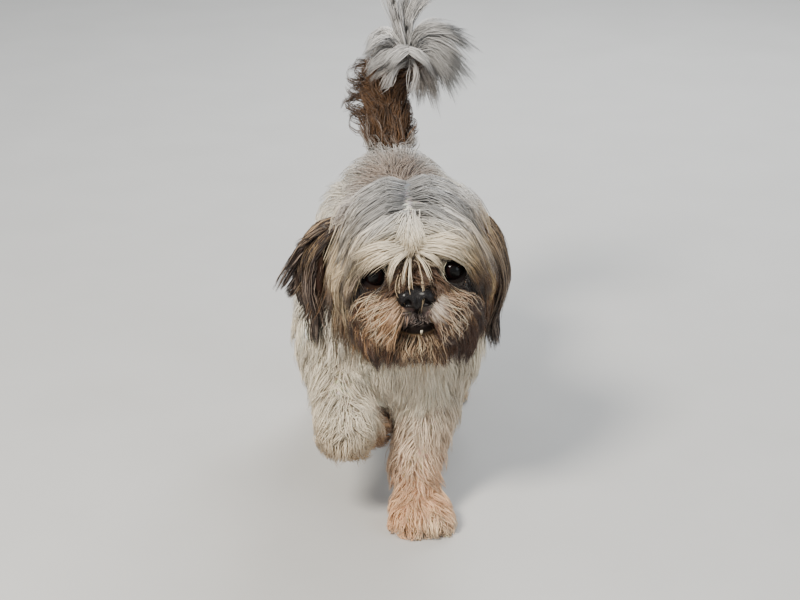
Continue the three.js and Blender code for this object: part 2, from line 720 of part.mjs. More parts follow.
const mouthSlit = () => egg(onHead(0, -56, -49.6), 37, 32, 3.4, headSpin, 1);
const philtrum = () => egg(onHead(0, -70, -38), 1.8, 12, 18, headSpin, 0);

// Every part, in the order in which a part may cut the ones after it
const parts = [
  { name: "left_eye", color: 0x17100c, roughness: 0.08, make: (thicker) => [eye(1, thicker)] },
  { name: "right_eye", color: 0x17100c, roughness: 0.08, make: (thicker) => [eye(-1, thicker)] },
  { name: "nose", color: 0x16120f, roughness: 0.35, make: (thicker) => [nose(thicker)] },
];
const coats = {
  white: { color: 0xd8d2c6, roughness: 0.8 },
  cream: { color: 0xcdb999, roughness: 0.8 },
  brown: { color: 0x5b4633, roughness: 0.8 },
};

function addEar(name, side, blown) {
  const locks = earLocks(side, blown);
  parts.push({
    name,
    ...coats.brown,
    make: (thicker) => [earLeather(side, blown, thicker), ...coated(null, locks, thicker)],
  });
}

function addPart(name, coat, { axis, mesh, locks, grow = 0, extras = () => [] }) {
  parts.push({
    name,
    ...coats[coat],
    make: (thicker) => [
      wrapped(flesh[name], axis, mesh, grow + thicker),
      ...coated(flesh[name], locks, thicker),
      ...extras(),
    ],
  });
}

addEar("left_ear", 1, 0);
addEar("right_ear", -1, 1);
addPart("head", "white", {
  axis: [onHead(0, 26, 2), onHead(0, -30, -12)],
  mesh: { rings: 6, around: 20, caps: 3 },
  locks: headLocks(),
  extras: () => sides.map(lids),
});
addPart("lower_jaw", "cream", {
  axis: [onHead(0, -8, -52), onHead(0, -46, -57)],
  mesh: { rings: 4, around: 12 },
  locks: beardLocks(),
  extras: teeth,
});
addPart("neck", "cream", {
  axis: [onHead(0, 30, -14), along(onHead(0, 30, -14), WITHERS, 0.9)],
  mesh: { rings: 3, around: 14 },
  locks: neckLocks(),
  grow: UNDERCOAT,
});
addPart("torso", "cream", {
  axis: bodyAxis,
  mesh: { rings: 9, around: 18, caps: 2 },
  locks: torsoLocks(),
  grow: UNDERCOAT,
});
for (const [name, leg] of [["left_foreleg", LEFT_FORE], ["right_foreleg", RIGHT_FORE]])
  addPart(name, "white", {
    axis: legAxis(leg),
    mesh: { rings: 7, around: 10 },
    locks: legLocks(name, leg, 5),
    grow: UNDERCOAT,
  });
for (const [name, leg] of [["left_hind_leg", LEFT_HIND], ["right_hind_leg", RIGHT_HIND]])
  addPart(name, "white", {
    axis: [...legAxis(leg), along(leg.hock, leg.paw, 0.5)],
    mesh: { rings: 7, around: 10 },
    locks: legLocks(name, leg, 4),
    grow: UNDERCOAT,
  });
for (const [name, leg] of [
  ["left_forepaw", LEFT_FORE],
  ["left_hind_paw", LEFT_HIND],
  ["right_hind_paw", RIGHT_HIND],
])
  addPart(name, "cream", {
    axis: [along(leg.wrist ?? leg.hock, leg.paw, 0.5), leg.paw.clone().add(vec(0, -10, -3))],
    mesh: { rings: 5, around: 12 },
    locks: standingPawLocks(name, leg),
    grow: 1,
  });
addPart("right_forepaw", "cream", {
  axis: [along(RIGHT_FORE.wrist, RIGHT_FORE.paw, 0.4), RIGHT_FORE.paw],
  mesh: { rings: 4, around: 12 },
  locks: liftedPawLocks(),
  grow: 1,
});
addPart("tail_stem", "brown", {
  axis: TAIL.slice(0, TAIL_SPLIT + 1),
  mesh: { rings: 5, around: 8, caps: 1, bends: true },
  locks: stemLocks(),
  grow: 4,
});
addPart("tail_curl", "white", {
  axis: TAIL.slice(TAIL_SPLIT),
  mesh: { rings: 4, around: 10, bends: true },
  locks: plumeLocks(),
  grow: 1,
});

// Where two sheets of a solid touch at a point, each sheet's corner is drawn back a hair into its own sheet
function parted({ vertProperties, triVerts }) {
  const count = vertProperties.length / 3;
  const corners = Array.from({ length: count }, (_, i) => vec().fromArray(vertProperties, i * 3));
  const middles = corners.map(() => vec());
  for (let i = 0; i < triVerts.length; i++) {
    const next = triVerts[i % 3 === 2 ? i - 2 : i + 1];
    middles[triVerts[i]].add(corners[next].clone().sub(corners[triVerts[i]]).normalize());
  }
  const order = [...corners.keys()].sort((a, b) => corners[a].x - corners[b].x);
  const touching = new Set();
  order.forEach((a, n) => {
    for (let m = n + 1; m < order.length && corners[order[m]].x - corners[a].x < TOUCH; m++)
      if (corners[order[m]].distanceTo(corners[a]) < TOUCH) touching.add(a).add(order[m]);
  });
  for (const i of touching)
    corners[i].clone().addScaledVector(middles[i].normalize(), 4 * TOUCH).toArray(vertProperties, i * 3);
  return { vertProperties, triVerts };
}

// Cuts each part clear of those before it and keeps its one largest body
const floor = fromGeometry(new THREE.BoxGeometry(900, 900, 100).translate(0, 150, -50));
const dog = new THREE.Group();
const grown = [];
for (const { name, color, roughness, make } of parts) {
  let solid = tidyUnion(make(0)).simplify(FINEST);
  const near = grown.filter((other) => boxesMeet(solid, other));
  if (name === "head" || name === "lower_jaw") near.push(mouthSlit(), philtrum());
  solid = solid.subtract(tidyUnion([floor, ...near]));
  solid = largest(largest(solid).simplify(TOUCH));
  grown.push(tidyUnion([solid, ...make(GAP)]));
  const { vertProperties, triVerts } = parted(solid.getMesh());
  const geometry = new THREE.BufferGeometry();
  geometry.setAttribute("position", new THREE.BufferAttribute(vertProperties, 3));
  geometry.setIndex(new THREE.BufferAttribute(triVerts, 1));
  geometry.computeVertexNormals();
  const mesh = new THREE.Mesh(geometry, new THREE.MeshStandardMaterial({ color, roughness, metalness: 0 }));
  mesh.name = name;
  dog.add(mesh);
}

function boxesMeet(a, b) {
  const [p, q] = [a.boundingBox(), b.boundingBox()];
  return [0, 1, 2].every((i) => p.min[i] <= q.max[i] && q.min[i] <= p.max[i]);
}

// The origin is on the floor, under the middle of the dog's box
const box = new THREE.Box3().setFromObject(dog);
const middle = box.getCenter(vec());
dog.position.set(-middle.x, -middle.y, -box.min.z);

export default dog;
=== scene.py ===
# %% [markdown]
# A shih tzu at life size
#
# The dog walks towards the camera with its right forepaw lifted and its plumed tail curled over its back.
# The solids of the part carry its size and pose. This lesson dresses them: one skin under the whole coat,
# then eyes, nose, lips, claws and pads, and last the coat itself, tuft by tuft, combed along the body.

# %% Load the frame
import math
import bmesh
import bpy
import numpy as np
from mathutils import Euler, Matrix, Vector, kdtree


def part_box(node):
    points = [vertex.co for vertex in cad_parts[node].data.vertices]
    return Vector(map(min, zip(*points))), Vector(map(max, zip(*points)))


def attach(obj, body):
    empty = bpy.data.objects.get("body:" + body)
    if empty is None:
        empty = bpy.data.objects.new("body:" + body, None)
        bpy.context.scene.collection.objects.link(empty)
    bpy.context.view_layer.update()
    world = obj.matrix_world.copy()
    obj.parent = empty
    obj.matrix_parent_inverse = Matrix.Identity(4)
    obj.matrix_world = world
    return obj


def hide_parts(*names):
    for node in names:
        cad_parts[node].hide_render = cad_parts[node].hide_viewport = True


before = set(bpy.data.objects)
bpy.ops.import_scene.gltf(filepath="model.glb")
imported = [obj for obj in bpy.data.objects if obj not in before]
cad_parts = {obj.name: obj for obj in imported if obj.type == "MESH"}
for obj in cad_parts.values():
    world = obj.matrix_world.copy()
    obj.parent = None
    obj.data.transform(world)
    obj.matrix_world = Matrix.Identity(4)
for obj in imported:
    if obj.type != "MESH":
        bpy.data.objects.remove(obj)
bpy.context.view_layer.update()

print("nodes:", sorted(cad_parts))

# %% [markdown]
# Where everything is
#
# The dog is thought out in millimetres in a walking frame: it faces -Y, its left side is +X and the floor is
# at zero. The head has a frame of its own, a little raised, turned and tipped. The left eye of the part tells
# where the walking frame lies in the part, so that each piece of this file lands on its solid.

# %% Frames of the body and of the head
MM = 0.001
SKULL_CENTRE = np.array([9.0, 68.0, 228.0])
HEAD_TURN = (-3, -3.6, 2)  # degrees round X, Y and Z
HEAD = np.array(Euler([math.radians(a) for a in HEAD_TURN], "XYZ").to_matrix())
rng = np.random.default_rng(7)


def on_head(x, y, z):
    """A place given on the head, in the walking frame."""
    return SKULL_CENTRE + HEAD @ np.array([x, y, z], float)


def head_way(x, y, z):
    """A way given on the head, in the walking frame."""
    return HEAD @ np.array([x, y, z], float)


def in_head(p):
    """Places in the head's own frame."""
    return (p - SKULL_CENTRE) @ HEAD


def unit(v):
    return v / np.maximum(np.linalg.norm(v, axis=-1, keepdims=True), 1e-9)


def mix(a, b, t):
    return a + (b - a) * t


def soft(low, high, x):
    """Runs smoothly from 0 at low to 1 at high."""
    t = np.clip((x - low) / (high - low), 0, 1)
    return t * t * (3 - 2 * t)


EYE_RADIUS = 11.0
CORNEA = 1.1  # how far the cornea stands out of the ball
EYE_AT = (30, -36, -10)  # the left eye on the head, and the right one mirrored
EYES = {side: on_head(EYE_AT[0] * side, *EYE_AT[1:]) for side in (1, -1)}
LOOKS = {side: unit(head_way(0.26 * side, -1, 0.02)) for side in (1, -1)}
low, high = [np.array(corner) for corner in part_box("left_eye")]
SHIFT = (low + high) / 2 - (EYES[1] + CORNEA / 2 * LOOKS[1]) * MM


def in_part(p):
    """From millimetres in the walking frame to metres in the part."""
    return np.asarray(p) * MM + SHIFT


print("walking frame lies at", SHIFT.round(4))

# %% [markdown]
# The camera and the light
#
# The photograph looks down on the dog by about 21 degrees from a metre and a half away, through a lens of
# some 93 mm on a full frame. Large soft lights leave the coat's own shades to be seen, and the floor is pale.

# %% Camera and lights
CAMERA_AT = (0, -1500, 780)
CAMERA_TILT = 20.9  # degrees below the level
SENSOR = 36
FOCAL_PIXELS, FRAME_PIXELS = 2057, 800

camera = bpy.data.objects.new("camera", bpy.data.cameras.new("camera"))
bpy.context.collection.objects.link(camera)
camera.location = in_part(CAMERA_AT)
camera.rotation_euler = (math.radians(90 - CAMERA_TILT), 0, 0)
camera.data.lens = SENSOR * FOCAL_PIXELS / FRAME_PIXELS
camera.data.sensor_width = SENSOR
camera.data.clip_end = 50
bpy.context.scene.camera = camera


def area_light(name, place, aim, size, watts, colour):
    lamp = bpy.data.lights.new(name, "AREA")
    lamp.shape = "DISK"
    lamp.size = size
    lamp.energy = watts
    lamp.color = colour
    holder = bpy.data.objects.new(name, lamp)
    bpy.context.collection.objects.link(holder)
    holder.location = place
    holder.rotation_euler = (Vector(aim) - Vector(place)).to_track_quat("-Z", "Y").to_euler()


area_light("key_light", (-0.8, -1.2, 1.6), (0, -0.05, 0.2), 0.55, 68, (1.0, 0.95, 0.86))
area_light("fill_light", (1.5, -1.1, 0.8), (0, 0, 0.2), 1.2, 10, (0.9, 0.95, 1.0))
area_light("back_light", (0.5, 1.5, 1.5), (0, 0, 0.2), 0.9, 40, (0.92, 0.96, 1.0))

world = bpy.data.worlds.new("studio")
bpy.context.scene.world = world
world.use_nodes = True
world.node_tree.nodes["Background"].inputs["Color"].default_value = (0.86, 0.9, 0.95, 1)
world.node_tree.nodes["Background"].inputs["Strength"].default_value = 0.62
print("camera lens", round(camera.data.lens, 1), "mm")

# %% [markdown]
# Colours and finishes
#
# Every finish is a small group of shader nodes. A palette in plain words gives the coat's shades, named as a
# groomer would name them. Colours are written as a paint chart gives them and turned to linear light once.

# %% Palette
def shade(red, green, blue):
    """A shade of the paint chart, in linear light."""
    c = np.array([red, green, blue]) / 255
    return np.where(c <= 0.04045, c / 12.92, ((c + 0.055) / 1.055) ** 2.4)


WHITE = shade(246, 240, 229)
SILVER = shade(196, 195, 197)
CREAM = shade(238, 222, 192)
GOLD = shade(203, 170, 118)
TAN = shade(150, 114, 76)
BROWN = shade(82, 54, 37)
DARK = shade(28, 19, 15)
PINK_BEIGE = shade(212, 166, 130)
RUST = shade(246, 190, 140)
print("palette of 9 shades")

# %% Materials and their patterns
def new_material(name, roughness, **sockets):
    """A Principled material whose constants sit on the shader itself."""
    material = bpy.data.materials.new(name)
    material.use_nodes = True
    shader = material.node_tree.nodes["Principled BSDF"]
    shader.inputs["Roughness"].default_value = roughness
    for socket, value in sockets.items():
        shader.inputs[socket.replace("_", " ")].default_value = value
    return material, material.node_tree.nodes, material.node_tree.links, shader


def noise(nodes, links, scale, detail=3.0, kind="ShaderNodeTexNoise"):
    """A pattern on Object coordinates, at a scale in metres."""
    place = nodes.new("ShaderNodeTexCoord")
    texture = nodes.new(kind)
    texture.inputs["Scale"].default_value = scale
    if kind == "ShaderNodeTexNoise":
        texture.inputs["Detail"].default_value = detail
    links.new(place.outputs["Object"], texture.inputs["Vector"])
    return texture


def add_bump(nodes, links, shader, height, strength, distance):
    bump = nodes.new("ShaderNodeBump")
    bump.inputs["Strength"].default_value = strength
    bump.inputs["Distance"].default_value = distance
    links.new(height, bump.inputs["Height"])
    links.new(bump.outputs["Normal"], shader.inputs["Normal"])


def two_tones(nodes, links, shader, pattern, first, last):
    """Runs the base colour from one shade to another as a pattern says."""
    ramp = nodes.new("ShaderNodeValToRGB")
    ramp.color_ramp.elements[0].color = (*first, 1)
    ramp.color_ramp.elements[1].color = (*last, 1)
    links.new(pattern, ramp.inputs["Fac"])
    links.new(ramp.outputs["Color"], shader.inputs["Base Color"])


# %% Floor
FLOOR_HALF = 9  # metres


def new_object(name, bm, material=None, slot=None):
    """Makes a bmesh an object at the origin, smooth, riding on the part's one body."""
    mesh = bpy.data.meshes.new(name)
    bm.to_mesh(mesh)
    bm.free()
    piece = bpy.data.objects.new(name, mesh)
    bpy.context.collection.objects.link(piece)
    mesh.shade_smooth()
    if material:
        mesh.materials.append(material)
    if slot:
        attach(piece, "root")
    return piece


floor_finish, nodes, links, shader = new_material("pale_floor", 0.85)
grain = noise(nodes, links, 9)
two_tones(nodes, links, shader, grain.outputs["Fac"], (0.47, 0.46, 0.44), (0.53, 0.52, 0.50))
bm = bmesh.new()
bmesh.ops.create_grid(bm, x_segments=8, y_segments=8, size=FLOOR_HALF)
floor = new_object("floor", bm, floor_finish)
print("floor:", 2 * FLOOR_HALF, "m wide, in", len(floor.data.polygons), "faces")

# %% [markdown]
# The body as a field
#
# Flesh is made of balls and tapered bones that melt into each other. For any place the field tells how far it
# is from the skin, and its slope points straight away from the body. One field then serves the skin, the lie
# of the coat and the height of each hair. The sizes are those of the part's solids.

# %% Balls, bones and how they blend
def ball(centre, width, length, height, turn=np.eye(3)):
    """A squashed ball by its three breadths, turned as its frame says."""
    return ("ball", np.asarray(centre, float), np.array([width, length, height]) / 2, turn)


def head_ball(x, y, z, width, length, height):
    return ball(on_head(x, y, z), width, length, height, HEAD)


def bone(a, b, ra, rb):
    """A tapered rod with round ends."""
    return ("bone", np.asarray(a, float), np.asarray(b, float), (ra, rb))


def chain(points, radii):
    return [bone(*points[i:i + 2], *radii[i:i + 2]) for i in range(len(points) - 1)]


def shape_distance(shape, p):
    """How far places are from one ball or bone, less than nothing inside it."""
    kind, a, b, c = shape
    if kind == "ball":
        near = ((p - a) @ c) / b
        k = np.linalg.norm(near, axis=-1)
        return k * (k - 1) / np.maximum(np.linalg.norm(near / b, axis=-1), 1e-6)
    rod = b - a
    t = np.clip((p - a) @ rod / (rod @ rod), 0, 1)
    return np.linalg.norm(p - a - t[..., None] * rod, axis=-1) - mix(c[0], c[1], t)


def blended(a, b, breadth):
    """The nearer of two distances, rounded over where they are about the same."""
    overlap = np.maximum(breadth - np.abs(a - b), 0) / breadth
    return np.minimum(a, b) - overlap * overlap * breadth / 4


probe = shape_distance(ball((0, 0, 0), 20, 20, 20), np.array([15.0, 0, 0]))
print("a place 15 mm from the middle of a 20 mm ball is", probe.round(2), "mm outside it")

# %% Skeleton points
def P(*xyz):
    """A place or a way, in millimetres."""
    return np.array(xyz, float)


MIDLINE = -5  # the trunk stands a little to the dog's right of the camera's axis
WITHERS = P(-3, 118, 194)
# each leg: shoulder or hip, elbow or knee, wrist or hock, and the middle of its paw
LEFT_FORE = [P(38, 104, 164), P(33, 106, 118), P(12, 50, 42), P(16, 27, 12)]
RIGHT_FORE = [P(-52, 98, 160), P(-52, 104, 124), P(-44, 26, 83), P(-30, 62, 72)]
LEFT_HIND = [P(30, 286, 172), P(40, 256, 118), P(37, 318, 64), P(37, 298, 12)]
RIGHT_HIND = [P(-36, 278, 172), P(-46, 240, 120), P(-42, 298, 64), P(-40, 274, 12)]
TAIL = [P(-8, 310, 222), P(-11, 330, 248), P(-12, 340, 276), P(-8, 334, 304), P(0, 318, 322), P(9, 301, 325)]
PLUME_ROOT = P(3, 306, 328)
BODY_AXIS = [P(-5, 92, 165), P(-5, 140, 176), P(-4, 214, 183), P(-4, 300, 184)]
print("bones reach up to", WITHERS[2], "mm at the withers and", TAIL[-1][2], "mm in the tail")

# %% Paws, hind legs and ears
TOES = (-1.5, -0.5, 0.5, 1.5)  # four toes, counted from the middle of the paw
TOE_GAP, FOLDED_TOE_GAP = 9.5, 7.5
PAW_LENGTH = 46


def toe_reach(toe):
    """How far a toe reaches ahead of its paw's middle, the two inner ones farthest."""
    return PAW_LENGTH * (0.4 - 0.04 * toe * toe)


def standing_paw(leg, toe_in):
    joint, paw = leg[2:]
    toes = []
    for toe in TOES:
        reach = toe_reach(toe)
        toes.append(ball(paw + P(toe * TOE_GAP + toe_in * reach, -reach, -4), 15, 22, 20))
    shin = bone(mix(joint, paw, 0.35), paw + P(0, 6, 4), 12.5, 14)
    return [ball(paw, 40, PAW_LENGTH, 30), shin, *toes]


def hind_leg(leg):
    hip, knee, hock, paw = leg
    thigh = ball(mix(hip, knee, 0.25), 52, 84, 96)
    return [thigh, *chain([hip, knee, hock], [34, 24, 12]), bone(hock, paw + P(0, 8, 16), 12, 12)]


def ear_facing(blown):
    """How far the hanging ear faces forwards instead of sideways."""
    return 0.2 + 0.3 * blown


def ear_leaf(side, blown):
    """A hanging leaf of leather: flat balls down the ear."""
    turn = HEAD @ np.array(Matrix.Rotation(-side * math.atan(ear_facing(blown)), 3, "Z"))
    leaf = [
        (61 + 4 * blown, 13, 4, 6, 26, 28),
        (69 + 10 * blown, 9, -10, 5, 36, 42),
        (71 + 11 * blown, 5, -28, 5, 30, 38),
    ]
    return [ball(on_head(side * x, y, z - 6 * (1 - blown)), *size, turn) for x, y, z, *size in leaf]


print("toes reach", [round(toe_reach(toe), 1) for toe in TOES], "mm ahead")


# %% Flesh of each part
flesh = {"head": (9, [head_ball(0, 8, 6, 100, 106, 88), head_ball(0, -44, -20, 36, 40, 34)])}
for side in (1, -1):
    flesh["head"][1].extend([
        head_ball(21 * side, -29, 11, 42, 36, 26),
        head_ball(34 * side, -10, -22, 50, 70, 56),
        head_ball(12.5 * side, -51, -33, 32, 35, 33),
        bone(on_head(19 * side, -46, -47), on_head(0, -64, -46), 3.6, 4),
    ])
jaw_lips = [bone(on_head(17 * side, -46, -53), on_head(0, -60, -52.5), 3.2, 3.2) for side in (1, -1)]
flesh["lower_jaw"] = (7, [head_ball(0, -44, -58, 38, 36, 20), head_ball(0, -18, -50, 56, 66, 32), *jaw_lips])
flesh["left_ear"] = (8, ear_leaf(1, 0))
flesh["right_ear"] = (8, ear_leaf(-1, 1))
flesh["neck"] = (16, [bone(on_head(0, 34, -14), WITHERS, 40, 46), bone(on_head(0, 10, -40), P(-4, 92, 160), 32, 40)])
flesh["torso"] = (26, [
    ball((-5, 138, 178), 106, 156, 124),
    ball((-5, 88, 139), 88, 70, 108),
    ball((-4, 214, 188), 84, 160, 96),
    ball((-4, 283, 189), 90, 96, 98),
])
for name, leg, share, size, radii in (
    ("left_foreleg", LEFT_FORE, 0.3, (40, 66, 92), (28, 23, 15)),
    ("right_foreleg", RIGHT_FORE, 0.2, (42, 70, 88), (29, 24, 15)),
):
    flesh[name] = (14, [ball(mix(leg[0], leg[1], share), *size), *chain(leg[:3], radii)])
flesh["left_forepaw"] = (5, standing_paw(LEFT_FORE, 0.12))
lifted = RIGHT_FORE[3]
flesh["right_forepaw"] = (5, [bone(mix(RIGHT_FORE[2], lifted, 0.2), lifted, 13, 14), ball(lifted, 32, 32, 28)])
flesh["right_forepaw"][1].extend(ball(lifted + P(toe * FOLDED_TOE_GAP, 10, -8), 13, 16, 18) for toe in TOES)
flesh["left_hind_leg"] = (16, hind_leg(LEFT_HIND))
flesh["right_hind_leg"] = (16, hind_leg(RIGHT_HIND))
flesh["left_hind_paw"] = (5, standing_paw(LEFT_HIND, 0))
flesh["right_hind_paw"] = (5, standing_paw(RIGHT_HIND, 0))
flesh["tail_stem"] = (4, chain(TAIL[:4], [13, 11, 10, 9]))
flesh["tail_curl"] = (10, chain(TAIL[3:], [9, 7, 5]))
PARTS = list(flesh)
print("flesh:", sum(len(shapes) for _, shapes in flesh.values()), "balls and bones in", len(PARTS), "parts")


def part_distance(name, p):
    breadth, shapes = flesh[name]
    found = np.full(p.shape[:-1], 200.0, p.dtype)
    for shape in shapes:
        found = blended(found, shape_distance(shape, p), breadth)
    return found


# %% Fill a lattice with the field
LATTICE = 2.5
CORNER = P(-135, -60, -12)
COUNTS = np.array([109, 172, 152])
MARGIN = 30  # how far round a part its own field is worked out
SEAM = 6  # how broadly parts melt into each other


def part_reach(name):
    """Lowest and highest place that a part's shapes reach, with a margin."""
    ends = []
    for kind, a, b, c in flesh[name][1]:
        size = b.max() if kind == "ball" else max(c)
        ends += [a - size, a + size] if kind == "ball" else [a - size, a + size, b - size, b + size]
    return np.min(ends, axis=0) - MARGIN, np.max(ends, axis=0) + MARGIN


def fill(names):
    """The field of some parts on the lattice: its distance and its slope at each place."""
    values = np.full(COUNTS, 60, np.float32)
    axes = [CORNER[i] + LATTICE * np.arange(COUNTS[i]) for i in range(3)]
    for name in names:
        first, last = part_reach(name)
        window = tuple(slice(*np.searchsorted(axes[i], (first[i], last[i]))) for i in range(3))
        places = np.stack(np.meshgrid(*[axes[i][window[i]] for i in range(3)], indexing="ij"), -1).astype(np.float32)
        values[window] = blended(values[window], part_distance(name, places), SEAM)
    return np.stack([values, *np.gradient(values, LATTICE)], -1).reshape(-1, 4).astype(np.float32)


WHOLE = fill(PARTS)
EARLESS = fill([name for name in PARTS if "ear" not in name.split("_")])
print("lattices of", len(WHOLE), "places")


def field(p, lattice=WHOLE):
    """Distance to the skin of the body, and the unit way that leads straight away from it."""
    g = np.clip((p - CORNER) / LATTICE, 0, COUNTS - 1.001)
    cell = g.astype(int)
    f = g - cell
    base = (cell[:, 0] * COUNTS[1] + cell[:, 1]) * COUNTS[2] + cell[:, 2]
    found = np.zeros((len(p), 4))
    for i in (0, 1):
        for j in (0, 1):
            for k in (0, 1):
                weight = np.abs(1 - i - f[:, 0]) * np.abs(1 - j - f[:, 1]) * np.abs(1 - k - f[:, 2])
                found += weight[:, None] * lattice[base + (i * COUNTS[1] + j) * COUNTS[2] + k]
    return found[:, 0], unit(found[:, 1:])


def onto_skin(p, depth=0.0, rounds=3, lattice=WHOLE):
    """Slides places along the field's slope until they lie on the skin, or at a depth over it."""
    for _ in range(rounds):
        distance, away = field(p, lattice)
        p = p - away * (distance - depth)[:, None]
    return p


# %% [markdown]
# Markings
#
# One function gives the colour at each place of the body, and both the skin and every tuft ask it, so that
# they agree. This dog is white and cream, with a gold and brown mask, dark ears, a grey-tan saddle, a brown
# tail under a silver plume, and paws stained reddish.

# %% Colour by place
def over(base, colour, share):
    """Lays a colour over one or many, with a share for each place."""
    return mix(base, colour, share[:, None])


def face_mask(h):
    """Shades of the head by place in its own frame: white crown, gold sides, brown cheeks, pale muzzle."""
    left, y, z = h.T
    x = np.abs(left)
    # painted shade: grey down the top of the parting
    mask = over(WHITE, SILVER * 0.4, soft(8, 3, x) * soft(38, 46, z))
    mask = over(mask, CREAM, soft(42, 14, z) * 0.85)
    mask = over(mask, GOLD, soft(34, 54, x) * soft(40, 4, z) * 0.9)
    mask = over(mask, GOLD, soft(4, -12, z) * 0.85)
    mask = over(mask, mix(TAN, BROWN, 0.25), soft(40, 58, x) * soft(6, -24, z) * 0.75)
    mask = over(mask, TAN, soft(-12, -22, z) * soft(20, 30, x) * 0.8)
    mask = over(mask, mix(CREAM, GOLD, 0.5), soft(24, 8, z) * soft(0, 8, z) * 0.5)
    # the dog's right temple is paler cream-gold and its left temple browner: partly the hair's own colours, partly
    # painted light on the right side and painted shade on the left
    mask = over(mask, mix(CREAM, GOLD, 0.35), soft(-36, -48, left) * soft(-40, -14, z) * 0.75)
    mask = over(mask, BROWN, soft(28, 44, left) * soft(2, -18, z) * 0.65)
    mask = over(mask, BROWN, soft(44, 56, x) * soft(-18, -34, z) * 0.6)
    mask = over(mask, BROWN * 0.9, soft(25, 16, x) * soft(8, 0, z) * soft(-27, -19, z) * soft(-20, -30, y) * 0.95)
    muzzle = soft(-17, -25, z) * soft(-34, -46, y)
    mask = over(mask, BROWN, muzzle * soft(42, 30, x) * 0.75)
    mask = over(mask, PINK_BEIGE, muzzle * soft(33, 22, x) * soft(6, 11, x) * soft(-46, -36, z))
    mask = over(mask, WHITE, muzzle * soft(30, 20, left) * soft(9, 13, left) * soft(-38, -28, z) * 0.8)
    upper_lip = soft(-24, -30, z) * soft(-52, -48, z) * soft(-46, -54, y)
    mask = over(mask, mix(BROWN, SILVER, 0.18), soft(13, 9, x) * upper_lip * 0.9)
    mask = over(mask, DARK, soft(3.5, 1.5, x) * upper_lip)
    for side in (1, -1):
        eye = h - P(EYE_AT[0] * side, *EYE_AT[1:])
        ring = np.sqrt((eye[:, 0] * 0.85) ** 2 + eye[:, 1] ** 2 + ((eye[:, 2] + 2) * 1.05) ** 2)
        # the dark hair round each eye, made darker still with painted shade in the sockets
        mask = over(mask, DARK * 0.7, soft(23, 15, ring) * soft(15, 7, eye[:, 2]))
        under = eye - P(-2 * side, -4, -16)
        spread = 0.55 if side > 0 else 0.8
        dark = DARK if side > 0 else mix(DARK, BROWN, 0.6)
        mask = over(mask, dark, soft(17, 7, np.linalg.norm(under * P(spread, 0.6, 1.4), axis=1)) * 0.85)
    mouth = np.linalg.norm((h - P(0, -58, -48.5)) / P(17, 22, 4.5), axis=1)
    return over(mask, DARK, soft(1.25, 0.9, mouth))


def markings(p):
    """Shades of the whole dog by place."""
    x, y, z = p.T
    # trunk: white flanks, a grey-tan saddle along the back
    c = over(CREAM, mix(WHITE, CREAM, 0.35), soft(120, 190, z))
    saddle = soft(196, 226, z) * soft(110, 150, y) * soft(44, 12, np.abs(x - MIDLINE))
    c = over(c, SILVER * 0.88, saddle * 0.6)
    middle = soft(-38, -20, x) * soft(44, 22, x) * soft(285, 240, y)
    c = over(c, mix(TAN, SILVER, 0.3) * 0.93, saddle * middle * 0.85)
    # legs: white above, cream below, reddish paws
    c = over(c, mix(WHITE, CREAM, 0.5), soft(170, 130, z) * soft(50, 110, z) * 0.6)
    fore = soft(84, 64, y)
    c = over(c, mix(mix(WHITE, CREAM, 0.5), RUST, 0.3), soft(120, 66, z) * fore * soft(-20, -8, x) * 0.8)
    c = over(c, RUST, soft(76, 16, z) * fore * 0.85)
    c = over(c, CREAM, soft(12, 22, x) * soft(26, 12, z) * fore * 0.5)
    c = over(c, mix(GOLD, TAN, 0.5), soft(92, 72, z) * soft(-8, -20, x) * fore * 0.8)
    c = over(c, mix(CREAM, RUST, 0.5), soft(40, 14, z) * (1 - fore) * 0.6)
    # the folded paw: its reddish stain, darkened with painted shade where it is turned under
    lifted_paw = soft(44, 24, np.linalg.norm(p - lifted - P(0, 8, -4), axis=1))
    c = over(c, mix(BROWN, RUST, 0.4), lifted_paw * 0.8)
    # head, ears and tail
    near_head = soft(9, 2, np.minimum(part_distance("head", p), part_distance("lower_jaw", p)))
    c = over(c, face_mask(in_head(p)), near_head)
    near_ear = soft(4, 1, np.minimum(part_distance("left_ear", p), part_distance("right_ear", p)))
    c = over(c, mix(BROWN, DARK, 0.75), near_ear)
    near_stem = soft(14, 6, part_distance("tail_stem", p)) * soft(222, 238, z)
    c = over(c, mix(BROWN, TAN, 0.35), near_stem)
    # painted shade: dark grey skin where the plume springs from the curl, so that gaps there read as shadow
    near_curl = soft(12, 4, part_distance("tail_curl", p)) * soft(312, 324, z)
    return over(c, mix(SILVER, TAN, 0.25) * 0.45, near_curl)


print("markings: sample at the crown", markings(on_head(0, 0, 50)[None]).round(2))

# %% [markdown]
# The skin
#
# Under the coat lies one skin for the whole dog, so that no seam shows where two parts meet. It starts from
# the plain balls and rods of the body, which a voxel remesh melts into one closed surface. Each point is then
# drawn onto the field, which gives the soft valleys, and a little smoothing evens the mesh out.

# %% Balls and rods of the skin
def tapered_rod(bm, a, b, ra, rb):
    a, b = Vector(in_part(a)), Vector(in_part(b))
    turn = (b - a).to_track_quat("Z", "Y").to_matrix().to_4x4()
    middle = Matrix.Translation((a + b) / 2) @ turn
    bmesh.ops.create_cone(
        bm, cap_ends=True, segments=20, radius1=ra * MM, radius2=rb * MM, depth=(b - a).length, matrix=middle
    )
    for place, r in ((a, ra), (b, rb)):
        bmesh.ops.create_icosphere(bm, subdivisions=2, radius=r * MM, matrix=Matrix.Translation(place))


def squashed_ball(bm, centre, spread, subdivisions):
    middle = Matrix.Translation(in_part(centre))
    bmesh.ops.create_icosphere(bm, subdivisions=subdivisions, radius=MM, matrix=middle @ spread)


